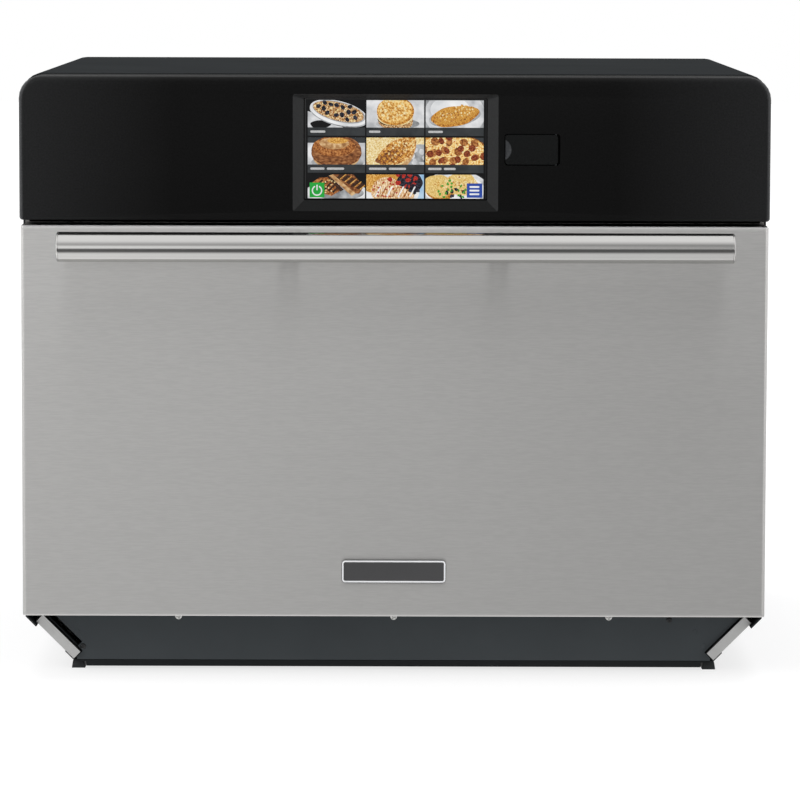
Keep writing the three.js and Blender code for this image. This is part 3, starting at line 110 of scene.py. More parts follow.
def noise(tree, stretch, scale, detail=3.0, turn=(0, 0, 0)):
    """Noise in object coordinates, which are stretched by a factor along each axis."""
    mapping = add(tree, "ShaderNodeMapping", Vector=coordinates(tree), Scale=stretch,
                  Rotation=turn)
    return add(tree, "ShaderNodeTexNoise", Vector=mapping.outputs["Vector"], Scale=scale,
               Detail=detail).outputs["Fac"]


def ramp(tree, source, stops):
    """Colours that follow a value, from pairs of place and colour."""
    node = tree.nodes.new("ShaderNodeValToRGB")
    line = node.color_ramp
    while len(line.elements) < len(stops):
        line.elements.new(0.5)
    for element, (place, color) in zip(line.elements, stops):
        element.position = place
        element.color = color
    feed(tree, node.inputs["Fac"], source)
    return node.outputs["Color"]


def greys(tree, source, *stops):
    """Linear greys that follow a value, from pairs of place and level."""
    return ramp(tree, source, [(place, (level, level, level, 1)) for place, level in stops])


def span(tree, source, low, high, start=0.35, end=0.65):
    """A value that goes from low to high while its source goes from start to end."""
    return add(tree, "ShaderNodeMapRange", Value=source, From_Min=start, From_Max=end, To_Min=low,
               To_Max=high).outputs["Result"]


def math_node(tree, operation, *values):
    """The result of an operation on numbers and sockets."""
    node = add(tree, "ShaderNodeMath", operation=operation)
    for socket, value in zip(node.inputs, values):
        feed(tree, socket, value)
    return node.outputs[0]


def product(tree, first, second):
    return math_node(tree, "MULTIPLY", first, second)


def mixed(tree, first, share, second):
    """A share of the first value and the rest of the second."""
    return math_node(tree, "MULTIPLY_ADD", first, share, product(tree, second, 1.0 - share))


def blend(tree, first, second, share):
    """A colour that goes from the first to the second as the share goes from zero to one."""
    return add(tree, "ShaderNodeMix", data_type="RGBA", A=first, B=second,
               Factor=share).outputs["Result"]


def bump(tree, shader, source, strength, distance):
    node = add(tree, "ShaderNodeBump", Height=source, Strength=strength, Distance=distance)
    put(tree, shader, Normal=node.outputs["Normal"])


def tangent(tree, shader, direction):
    """Spreads a brushed metal's reflections along a direction of the object's own frame."""
    turn = add(tree, "ShaderNodeVectorTransform", vector_type="VECTOR", convert_from="OBJECT",
               convert_to="WORLD", Vector=direction)
    put(tree, shader, Tangent=turn.outputs["Vector"])


def painted_side_highlight(tree):
    """One on rounded edges that turn to the left or right, and a little over zero at both ends."""
    # Mask of a painted highlight: the control panel turns lighter on its side edges and towards
    # both ends.
    end_lift, end_start, end_full = 0.22, 0.19, 0.31
    turned = math_node(tree, "ABSOLUTE", axes(tree, "Normal")["X"])
    edge = product(tree, span(tree, turned, 0.0, 1.0, 0.2, 0.6),
                   span(tree, turned, 1.0, 0.0, 0.85, 0.98))
    aside = math_node(tree, "ABSOLUTE", axes(tree)["X"])
    return math_node(tree, "MAXIMUM", edge, span(tree, aside, 0.0, end_lift, end_start, end_full))


def painted_edge_highlight(tree):
    """One on rounded edges above and below the front face, and just under zero beside it."""
    # This places the door's painted highlight on its top and bottom edges, and a little painted
    # shade beside them.
    normal = axes(tree, "Normal")
    turned = product(tree, span(tree, normal["Y"], 0.0, 1.0, -0.98, -0.6),
                     span(tree, normal["Y"], 1.0, 0.0, -0.4, -0.1))
    level = math_node(tree, "SUBTRACT", math_node(tree, "ABSOLUTE", normal["Z"]),
                      math_node(tree, "ABSOLUTE", normal["X"]))
    return product(tree, turned, span(tree, level, -0.1, 1.0, -0.1, 0.1))


def painted_notch_light(tree):
    """One behind the front face of the flap, in its thumb notch, which gets painted light."""
    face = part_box("usb_flap")[0].y
    return span(tree, axes(tree)["Y"], 0.0, 1.0, face + 0.1 * MM, face + 0.4 * MM)


def door_painted_light(tree, color):
    """Flecked door colour, with painted shade towards its foot and a painted highlight on its
    rounded edges.
    """
    # Painted light: foot and top scale the colour up the door as painted shade, and edge lifts the
    # rounded edges as a painted highlight.
    fleck, foot, top, edge = 0.028, 0.72, 1.06, 0.4
    low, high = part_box("door_skin")
    level = span(tree, noise(tree, (0.1, 1, 1), 1000.0, 2.0), 1.0 - fleck, 1.0 + fleck)
    level = product(tree, level, span(tree, axes(tree)["Z"], foot, top, low.z, high.z))
    level = product(tree, level, math_node(tree, "MULTIPLY_ADD", painted_edge_highlight(tree), edge, 1.0))
    scaled = add(tree, "ShaderNodeVectorMath", operation="SCALE", Vector=color, Scale=level)
    return scaled.outputs[0]


def brushed(name, dark, pale, roughness, along=(5, 2600, 2600), cloud=5.0,
            spread=(0.04, 0.0, 1.0), anisotropy=0.55, shade=None):
    """Metal with very fine lines along one axis, faint longer streaks and soft clouds.

    Its reflections spread in one direction, and a shade function may paint light and shade into
    its colour."""
    streak_share, streak_stretch, line_depth = 0.3, 0.05, 0.004
    material, tree, shader = new_material(name)
    clouds = noise(tree, (1, 1, 1.5), cloud, 4.0)
    streaks = noise(tree, tuple(streak_stretch * value for value in along), 1.0)
    lines = noise(tree, along, 1.0, 1.0)
    tone = mixed(tree, streaks, streak_share, clouds)
    color = ramp(tree, tone, [(0.32, linear(dark)), (0.68, linear(pale))])
    if shade:
        color = shade(tree, color)
    gloss = span(tree, clouds, roughness - 0.008, roughness + 0.012)
    put(tree, shader, Base_Color=color, Roughness=gloss, Metallic=1.0, Anisotropic=anisotropy)
    tangent(tree, shader, spread)
    bump(tree, shader, lines, 0.3, line_depth * MM)
    return material


def grained(name, dark, pale, roughness, grain=900.0, metallic=0.0, specular=0.5, depth=0.05,
            strength=0.4, wear=12.0, spread=0.08, coat=0.0, speckle=0.0, second=None, where=None):
    """Paint, plastic, rubber or cast metal: mottled colour, uneven gloss and a fine grain.

    A second pair of colours may be given, with the places that have it."""
    material, tree, shader = new_material(name)
    mottle = noise(tree, (1, 1, 1), wear, 5.0)
    fine = noise(tree, (1, 1, 1), grain, 2.0)
    tone = mixed(tree, fine, speckle, mottle)
    color, *other = [ramp(tree, tone, [(0.3, linear(pair[0])), (0.7, linear(pair[1]))])
                     for pair in ((dark, pale), second) if pair]
    if other:
        color = blend(tree, color, other[0], where(tree))
    gloss = span(tree, mottle, roughness - spread / 2, roughness + spread / 2)
    put(tree, shader, Base_Color=color, Roughness=gloss, Metallic=metallic,
        Specular_IOR_Level=specular, Coat_Weight=coat)
    bump(tree, shader, fine, strength, depth * MM)
    return material


# Metals

# The door's colour carries painted shade low down and a painted highlight on its rounded edges.
door_steel = brushed("brushed_steel", (227, 226, 224), (233, 232, 230), 0.4, anisotropy=1.0,
                     shade=door_painted_light)
handle_steel = brushed("handle_steel", (202, 201, 199), (214, 213, 211), 0.145, anisotropy=0.3)
cavity_steel = brushed("cavity_steel", (166, 165, 161), (184, 183, 179), 0.34)
frame_steel = brushed("frame_steel", (150, 149, 147), (168, 167, 165), 0.36)
aluminium = brushed("filter_aluminium", (176, 176, 175), (192, 192, 191), 0.4, cloud=25,
                    along=(2600, 5, 2600), anisotropy=0.3, spread=(1.0, 0.0, 0.04))
BRIGHT = {"metallic": 1.0, "depth": 0.005}
polished = grained("polished_steel", (196, 196, 194), (206, 206, 204), 0.14, **BRIGHT)
wire_steel = grained("rack_steel", (184, 184, 182), (204, 204, 202), 0.2, **BRIGHT)
screw_steel = grained("screw_steel", (186, 186, 184), (204, 204, 202), 0.24, **BRIGHT)
mesh_wire = grained("mesh_wire", (150, 150, 149), (172, 172, 171), 0.35, metallic=0.9,
                    depth=0.005)
galvanized = grained("galvanized_steel", (150, 155, 156), (178, 182, 183), 0.42, grain=260,
                     metallic=0.9, depth=0.02, wear=90)
copper = grained("winding_copper", (150, 84, 50), (182, 106, 62), 0.35, grain=1200,
                 metallic=0.9, depth=0.1)
heater = grained("heater_sheath", (68, 62, 58), (92, 80, 70), 0.42, grain=600, metallic=0.7,
                 wear=40)

# Paint and plastic

MOULDED = {"grain": 700, "depth": 0.03, "spread": 0.02}
BEZEL = {"strength": 0.6, "speckle": 0.8, **MOULDED}
paint = grained("painted_steel", (47, 49, 50), (50, 52, 53), 0.8, grain=1400, specular=0.0,
                depth=0.04)
# The chin's paint is lightened, as painted light against the shade under the door's overhang.
chin_paint_lightened = grained("chin_paint_lifted_against_shade", (66, 71, 74), (74, 79, 82), 0.6, grain=1400,
                     specular=0.25, depth=0.04)
# The panel's second pair of colours is a painted highlight on its side edges and ends.
panel_plastic = grained("black_plastic", (2, 2, 2), (12, 12, 12), 0.33, specular=0.12,
                        strength=0.8, speckle=0.9, second=((56, 57, 58), (68, 69, 70)),
                        where=painted_side_highlight, **MOULDED)
# The flap's second pair of colours is painted light in its thumb notch.
flap_plastic = grained("flap_plastic", (10, 11, 11), (22, 23, 23), 0.33, specular=0.11,
                       speckle=0.8, second=((52, 54, 57), (66, 67, 68)), where=painted_notch_light, **MOULDED)
bezel_plastic = grained("bezel_plastic", (14, 15, 16), (26, 27, 28), 0.36, specular=0.34, **BEZEL)
# Painted shade on the pocket's bottom wall and painted light on its top wall.
bezel_foot_shaded = grained("bezel_foot_shaded", (9, 10, 10), (18, 19, 19), 0.36, specular=0.2, **BEZEL)
bezel_brow_lit = grained("bezel_brow_lit", (36, 36, 36), (50, 50, 50), 0.5, specular=0.08, **BEZEL)
# Black for painted shadow: the pocket's inner rim and the strip behind the gap above the door.
bezel_painted_shadow = grained("bezel_painted_shadow", (2, 2, 2), (5, 5, 5), 0.5, grain=700, specular=0.04,
                      depth=0.01)
grey_plastic = grained("grey_plastic", (56, 56, 57), (64, 64, 65), 0.5, grain=1500, depth=0.03)
switch_plastic = grained("switch_plastic", (36, 36, 38), (44, 44, 46), 0.45, depth=0.03)
pale_trim = grained("pale_trim", (226, 227, 228), (238, 239, 240), 0.4, grain=700, depth=0.01)
dark_screw = grained("dark_screw", (34, 35, 36), (44, 45, 46), 0.38, depth=0.02)
circuit = grained("circuit_board", (24, 78, 48), (30, 92, 58), 0.4, grain=300, wear=80)

# Glass, rubber, ceramic and fibre

glass = grained("screen_glass", (5, 5, 6), (8, 8, 9), 0.06, grain=60, depth=0.001, spread=0.02)
lamp = grained("lamp_glass", (214, 212, 200), (232, 230, 220), 0.12, grain=200, coat=0.5)
rubber = grained("foot_rubber", (44, 46, 47), (52, 54, 55), 0.8, grain=700, depth=0.1,
                 specular=0.3)
seal = grained("door_gasket", (120, 116, 106), (146, 141, 130), 0.85, depth=0.15, wear=40)
ceramic = grained("ceramic_plate", (214, 206, 190), (228, 221, 206), 0.45, grain=500, wear=25)
fibre = grained("mineral_fibre", (206, 196, 158), (226, 218, 186), 0.95, grain=380, depth=0.6,
                strength=0.9, wear=60)
# A dark sheet of painted shade, standing for the shaded inside of the air filters behind their
# woven wire.
filter_core_shade = grained("filter_core_painted_shade", (24, 25, 26), (34, 35, 36), 0.85, grain=500, depth=0.2)


# Finishes of the CAD nodes

# Each node has the width in millimetres by which its sharp edges are rounded. A name that no
# node has stands for a left and a right one.
FINISHES = (
    (paint, {"outer_wrap": 0.5, "base_pan": 0.3, "rear_panel": 0.2, "filter_guide": 0.0}),
    (chin_paint_lightened, {"chin_panel": 0.3}),
    (frame_steel, {"front_frame": 0.2}),
    (cavity_steel, {"cavity_liner": 0.0, "fan_cover": 0.0, "door_inner": 0.0}),
    (door_steel, {"door_skin": 0.0}),
    (handle_steel, {"handle_bar": 0.0, "handle_cap": 0.0, "handle_post": 0.3}),
    (polished, {"usb_socket": 0.2, "latch_hook": 0.3}),
    (wire_steel, {"wire_rack": 0.0}),
    (aluminium, {"air_filter": 0.4, "stirrer": 0.0, "magnetron": 0.0, "capacitor": 0.4}),
    (galvanized, {"fan_plenum": 0.0, "convection_fan": 0.0, "fan_motor": 0.5, "waveguide": 0.0,
                  "stirrer_motor": 0.5, "blower_housing": 0.0, "blower_wheel": 0.0,
                  "display_module": 0.4, "hinge_bracket": 0.3, "hinge_arm": 0.3}),
    (copper, {"transformer": 0.6}),
    (heater, {"radiant_element": 0.0}),
    (fibre, {"cavity_insulation": 0.0, "door_insulation": 0.0}),
    (ceramic, {"ceramic_floor": 0.8}),
    (lamp, {"cavity_lamp": 0.8}),
    (seal, {"door_seal": 0.3}),
    (rubber, {"foot_front": 0.6, "foot_rear": 0.6}),
    (panel_plastic, {"control_panel": 0.0, "cable_gland": 0.5}),
    (flap_plastic, {"usb_flap": 0.5}),
    (glass, {"touch_glass": 0.2}),
    (grey_plastic, {"nameplate": 0.3}),
    (switch_plastic, {"interlock": 0.8}),
    (circuit, {"control_board": 0.0}),
)


def edge_group():
    """Joins split corners, drops imported normals and keeps only the sharp edges sharp."""
    tree = bpy.data.node_groups.new("clean_edges", "GeometryNodeTree")
    for name, in_out, kind in (("Geometry", "INPUT", "NodeSocketGeometry"),
                               ("Angle", "INPUT", "NodeSocketFloat"),
                               ("Geometry", "OUTPUT", "NodeSocketGeometry")):
        tree.interface.new_socket(name, in_out=in_out, socket_type=kind)
    start = add(tree, "NodeGroupInput")
    angle = add(tree, "GeometryNodeInputMeshEdgeAngle").outputs["Unsigned Angle"]
    flat = add(tree, "FunctionNodeCompare", data_type="FLOAT", operation="LESS_EQUAL", A=angle,
               B=start.outputs["Angle"])
    steps = (start, add(tree, "GeometryNodeRemoveAttribute", Name="custom_normal"),
             add(tree, "GeometryNodeMergeByDistance", Distance=0.02 * MM),
             add(tree, "GeometryNodeSetShadeSmooth", domain="FACE"),
             add(tree, "GeometryNodeSetShadeSmooth", domain="EDGE",
                 Shade_Smooth=flat.outputs["Result"]), add(tree, "NodeGroupOutput"))
    for before, after in zip(steps, steps[1:]):
        put(tree, after, Geometry=before.outputs["Geometry"])
    return tree


CLEAN = edge_group()
ANGLE_SOCKET = next(item.identifier for item in CLEAN.interface.items_tree
                    if item.name == "Angle")


def dress(obj, material, width):
    """Gives an object its finish, and rounds its sharp edges by a width in millimetres."""
    obj.data.materials.clear()
    obj.data.materials.append(material)
    clean = obj.modifiers.new("clean", "NODES")
    clean.node_group = CLEAN
    clean[ANGLE_SOCKET] = math.radians(CREASE)
    if width > 0:
        bevel = obj.modifiers.new("edge", "BEVEL")
        bevel.width = width * MM
        bevel.segments = 2
        bevel.limit_method = "ANGLE"
        bevel.angle_limit = math.radians(CREASE)
        bevel.harden_normals = True
        bevel.use_clamp_overlap = True
    weigh = obj.modifiers.new("weigh", "WEIGHTED_NORMAL")
    weigh.keep_sharp = True


for material, widths in FINISHES:
    for stem, width in widths.items():
        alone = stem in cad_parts
        for name in [stem] if alone else [f"{stem}_left", f"{stem}_right"]:
            dress(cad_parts[name], material, width)
# The flap's thumb notch meets its face at a flat angle, and shows only with that edge sharp.
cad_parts["usb_flap"].modifiers["clean"][ANGLE_SOCKET] = math.radians(12)


# Mesh pieces

class Parts:
    """Points in millimetres and faces of several closed shapes that become one piece."""

    def __init__(self):
        self.verts, self.faces, self.looks = [], [], []

    def shape(self, verts, faces, look=0):
        base = len(self.verts)
        self.verts += [tuple(v) for v in verts]
        self.faces += [tuple(base + i for i in face) for face in faces]
        self.looks += [look] * len(faces)

    def slab(self, outline, near, far, look=0):
        """A plate in the XZ plane between two depths along Y."""
        count = len(outline)
        if count < 3:
            return
        verts = [(x, near, z) for x, z in outline] + [(x, far, z) for x, z in outline]
        faces = [tuple(range(count)), tuple(range(2 * count - 1, count - 1, -1))]
        faces += [(i, (i + 1) % count, count + (i + 1) % count, count + i) for i in range(count)]
        self.shape(verts, faces, look)

    def bar(self, low, high, look=0):
        (x0, y0, z0), (x1, y1, z1) = low, high
        self.slab([(x0, z0), (x1, z0), (x1, z1), (x0, z1)], y0, y1, look)

    def make(self, name, materials, body, slot, smooth=False, turn=None):
        """The piece, which rides on a body. Each face has the material that its look counts."""
        mesh = bpy.data.meshes.new(name)
        mesh.from_pydata([Vector(v) * MM for v in self.verts], [], self.faces)
        for material in materials:
            mesh.materials.append(material)
        mesh.polygons.foreach_set("material_index", self.looks)
        work = bmesh.new()
        work.from_mesh(mesh)
        bmesh.ops.recalc_face_normals(work, faces=work.faces)
        work.to_mesh(mesh)
        work.free()
        if turn is not None:
            mesh.transform(turn)
        mesh.polygons.foreach_set("use_smooth", [smooth] * len(mesh.polygons))
        if smooth:
            mesh.set_sharp_from_angle(angle=math.radians(CREASE))
        obj = new_object(name, mesh)
        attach(obj, body)


def oval_line(draw, x, z, rx, rz, rough, tilt, count):
    """A round outline. A rough one gets waves with two to six crests."""
    waves = [(draw.uniform(0, 2 * math.pi), draw.uniform(0.4, 1.0) / crests)
             for crests in range(2, 7)] if rough else []
    c, s = math.cos(math.radians(tilt)), math.sin(math.radians(tilt))
    points = []
    for i in range(count):
        a = 2 * math.pi * i / count
        r = 1 + rough * sum(size * math.sin(crests * a + phase)
                            for crests, (phase, size) in enumerate(waves, 2))
        u, v = rx * r * math.cos(a), rz * r * math.sin(a)
        points.append((x + u * c - v * s, z + u * s + v * c))
    return points


def rounded_box(x0, x1, z0, z1, radius, steps):
    points = []
    for cx, cz, start in ((x0 + radius, z0 + radius, 180), (x1 - radius, z0 + radius, 270),
                          (x1 - radius, z1 - radius, 0), (x0 + radius, z1 - radius, 90)):
        for i in range(steps + 1):
            a = math.radians(start + 90 * i / steps)
            points.append((cx + radius * math.cos(a), cz + radius * math.sin(a)))
    return points


def clipped(points, x0, x1, z0, z1):
    """An outline cut back to a rectangle."""
    for axis, limit, sign in ((0, x0, 1), (0, x1, -1), (1, z0, 1), (1, z1, -1)):
        result = []
        for i, here in enumerate(points):
            before = points[i - 1]
            inside = sign * (here[axis] - limit) >= 0
            was_inside = sign * (before[axis] - limit) >= 0
            if inside != was_inside:
                share = (limit - before[axis]) / (here[axis] - before[axis])
                result.append(tuple(b + (h - b) * share for b, h in zip(before, here)))
            if inside:
                result.append(here)
        points = result
        if not points:
            return []
    return points


# Screen picture: generic dishes in a grid, label bars, and two buttons

def lit(name, shades, scale, stretch=(1, 1, 1), turn=0.0):
    """A glowing picture colour under the glass, mottled between its shades."""
    first, last, glow, gloss = 0.33, 0.67, 0.95, 0.12
    material, tree, shader = new_material(f"lit_{name}")
    source = noise(tree, stretch, scale, 4.0, (0, math.radians(turn), 0))
    stops = [(first + (last - first) * i / (len(shades) - 1), linear(shade))
             for i, shade in enumerate(shades)]
    put(tree, shader, Base_Color=(0.004, 0.004, 0.004, 1), Roughness=gloss,
        Specular_IOR_Level=gloss, Emission_Color=ramp(tree, source, stops), Emission_Strength=glow)
    return material


# Shades, scale of the mottling, and for some its stretch along each axis and its turn in degrees
SHADES = {
    "black": ([(8, 9, 10), (14, 14, 15)], 200),
    "slate": ([(44, 47, 49), (60, 63, 65)], 90),
    "text": ([(170, 170, 170), (206, 206, 206)], 1500),
    "white": ([(214, 216, 218), (246, 246, 246)], 70),
    "cloth": ([(176, 178, 181), (208, 209, 211), (234, 234, 235)], 90),
    "shade": ([(112, 113, 115), (160, 162, 164), (190, 192, 194)], 120),
    "cream": ([(206, 168, 98), (236, 212, 150), (250, 238, 202)], 800),
    "gold": ([(160, 100, 34), (214, 156, 70), (244, 204, 124)], 850),
    "amber": ([(120, 62, 20), (196, 128, 44), (238, 184, 92)], 1100),
    "crust": ([(92, 46, 20), (160, 96, 46), (206, 144, 84)], 700),
    "toast": ([(66, 34, 18), (124, 72, 38), (176, 118, 70)], 500),
    "dark": ([(24, 16, 13), (58, 36, 26), (96, 62, 40)], 1200),
    "berry": ([(8, 8, 12), (28, 28, 38), (70, 70, 84)], 1000),
    "red": ([(116, 16, 16), (176, 38, 30), (214, 84, 66)], 1200),
    "green": ([(30, 92, 28), (64, 150, 48), (120, 196, 90)], 1200),
    "sky": ([(138, 182, 218), (196, 218, 236)], 90),
    "crumble": ([(40, 22, 14), (150, 92, 46), (222, 178, 112), (250, 240, 214)], 1500),
    "bun": ([(164, 104, 40), (216, 160, 78), (240, 200, 122), (250, 226, 166)], 620),
    "loaf": ([(84, 46, 22), (134, 82, 46), (178, 124, 78)], 260, (1, 1, 2.2)),
    "glaze": ([(150, 104, 62), (198, 154, 104), (226, 194, 148)], 300),
    "strands": ([(128, 72, 20), (206, 142, 52), (244, 204, 112)], 900, (1, 1, 4), 24),
    "cutlet": ([(96, 50, 20), (184, 114, 48), (232, 182, 104), (250, 226, 168)], 760),
    "cheese": ([(178, 74, 30), (232, 176, 84), (250, 226, 158), (252, 240, 204)], 900),
    "sausage": ([(74, 26, 14), (128, 56, 30), (176, 96, 56)], 900),
    "waffle": ([(120, 60, 24), (206, 142, 76), (248, 224, 180), (252, 246, 232)], 520,
               (5, 1, 1), 24),
    "noodles": ([(176, 128, 52), (232, 196, 112), (250, 234, 180)], 800, (3, 1, 1), 40),
    "go": ([(32, 156, 56), (42, 174, 68)], 60),
    "menu": ([(36, 66, 150), (48, 80, 168)], 60),
}
LIT = [lit(name, *look) for name, look in SHADES.items()]
LOOKS = list(SHADES)

SCREEN_X0, SCREEN_X1 = -74.3, 75.9
SCREEN_Z0, SCREEN_Z1 = 415.8, 499.5
GLASS_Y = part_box("touch_glass")[0].y / MM
LAYER = 0.045
PICTURE_BACK = GLASS_Y - 0.05
COLUMN_SHARES = ((0.0, 0.3254), (0.3333, 0.6603), (0.669, 0.9984))
ROW_SHARES = ((0.0, 0.3617), (0.3801, 0.7390), (0.7560, 1.0))
LABEL_HEIGHT = 0.0837 * (SCREEN_Z1 - SCREEN_Z0)


class Tile:
    """One framed picture of the grid, drawn in layers.

    Heights V are percents of the tile's height, and places U and sizes are percents of its width.
    """

    def __init__(self, row, column, seed, ground):
        width, height = SCREEN_X1 - SCREEN_X0, SCREEN_Z1 - SCREEN_Z0
        left, right = COLUMN_SHARES[column]
        top, bottom = ROW_SHARES[row]
        self.x0, self.x1 = SCREEN_X0 + left * width, SCREEN_X0 + right * width
        self.z1, self.z0 = SCREEN_Z1 - top * height, SCREEN_Z1 - bottom * height
        self.label = row < 2
        if self.label:
            self.z0 += LABEL_HEIGHT
        self.parts = Parts()
        self.draw = random.Random(seed)
        self.level = 0
        self.lay(ground, [(self.x0, self.z0), (self.x1, self.z0), (self.x1, self.z1),
                          (self.x0, self.z1)])
        self.up()

    def lay(self, look, outline):
        """Adds an outline to the present layer, cut to the tile."""
        outline = clipped(outline, self.x0, self.x1, self.z0, self.z1)
        near = PICTURE_BACK - LAYER * (self.level + 1)
        self.parts.slab(outline, near, PICTURE_BACK - LAYER * self.level, LOOKS.index(look))

    def up(self):
        """Goes one layer further out."""
        self.level += 1
        return self

    def at(self, u, v):
        return self.x0 + u / 100 * (self.x1 - self.x0), self.z0 + v / 100 * (self.z1 - self.z0)

    def spot(self, look, u, v, ru, rv, rough=0.0, tilt=0.0, count=40):
        width = self.x1 - self.x0
        self.lay(look, oval_line(self.draw, *self.at(u, v), ru / 100 * width, rv / 100 * width,
                                 rough, tilt, count))
        return self

    def oval(self, *oval):
        """One oval, which fills a layer."""
        return self.spot(*oval).up()

    def scatter(self, look, count, u, v, ru, rv, size, rough=0.2, tilt=0.0):
        """Bits spread over an oval area, none on top of another. They fill a layer."""
        tries, spacing = 12 * count, 2.1 * size
        done = []
        c, s = math.cos(math.radians(tilt)), math.sin(math.radians(tilt))
        for _ in range(tries):
            if len(done) == count:
                break
            a, r = self.draw.uniform(0, 2 * math.pi), math.sqrt(self.draw.random())
            p, q = ru * r * math.cos(a), rv * r * math.sin(a)
            du, dv = p * c - q * s, p * s + q * c
            if all((du - x) ** 2 + (dv - z) ** 2 > spacing ** 2 for x, z in done):
                done.append((du, dv))
        aspect = (self.x1 - self.x0) / (self.z1 - self.z0)
        for du, dv in done:
            self.spot(look, u + du, v + dv * aspect, size, size * self.draw.uniform(0.7, 1.0),
                      rough, self.draw.uniform(0, 180), 14)
        return self.up()

    def band(self, look, *points):
        self.lay(look, [self.at(u, v) for u, v in points])
        return self

    def finish(self, name):
        """Adds the label bar with one or two bars for its words, and makes the piece."""
        word_gap, word_low, word_high = 2, 2.5, 4.4
        if self.label:
            low = self.z0 - LABEL_HEIGHT
            self.parts.slab([(self.x0, low), (self.x1, low), (self.x1, self.z0),
                             (self.x0, self.z0)], PICTURE_BACK - LAYER, PICTURE_BACK,
                            LOOKS.index("slate"))
            x = self.x0 + 0.2 + word_gap
            for _ in range(self.draw.choice((1, 2, 2))):
                length = self.draw.uniform(9, 17)
                word = rounded_box(x, x + length, low + word_low, low + word_high, 0.8, 3)
                self.parts.slab(word, PICTURE_BACK - 2 * LAYER, PICTURE_BACK - LAYER,
                                LOOKS.index("text"))
                x += length + word_gap
        self.parts.make(f"screen_picture_{name}", LIT, "cabinet", "screen_glass")


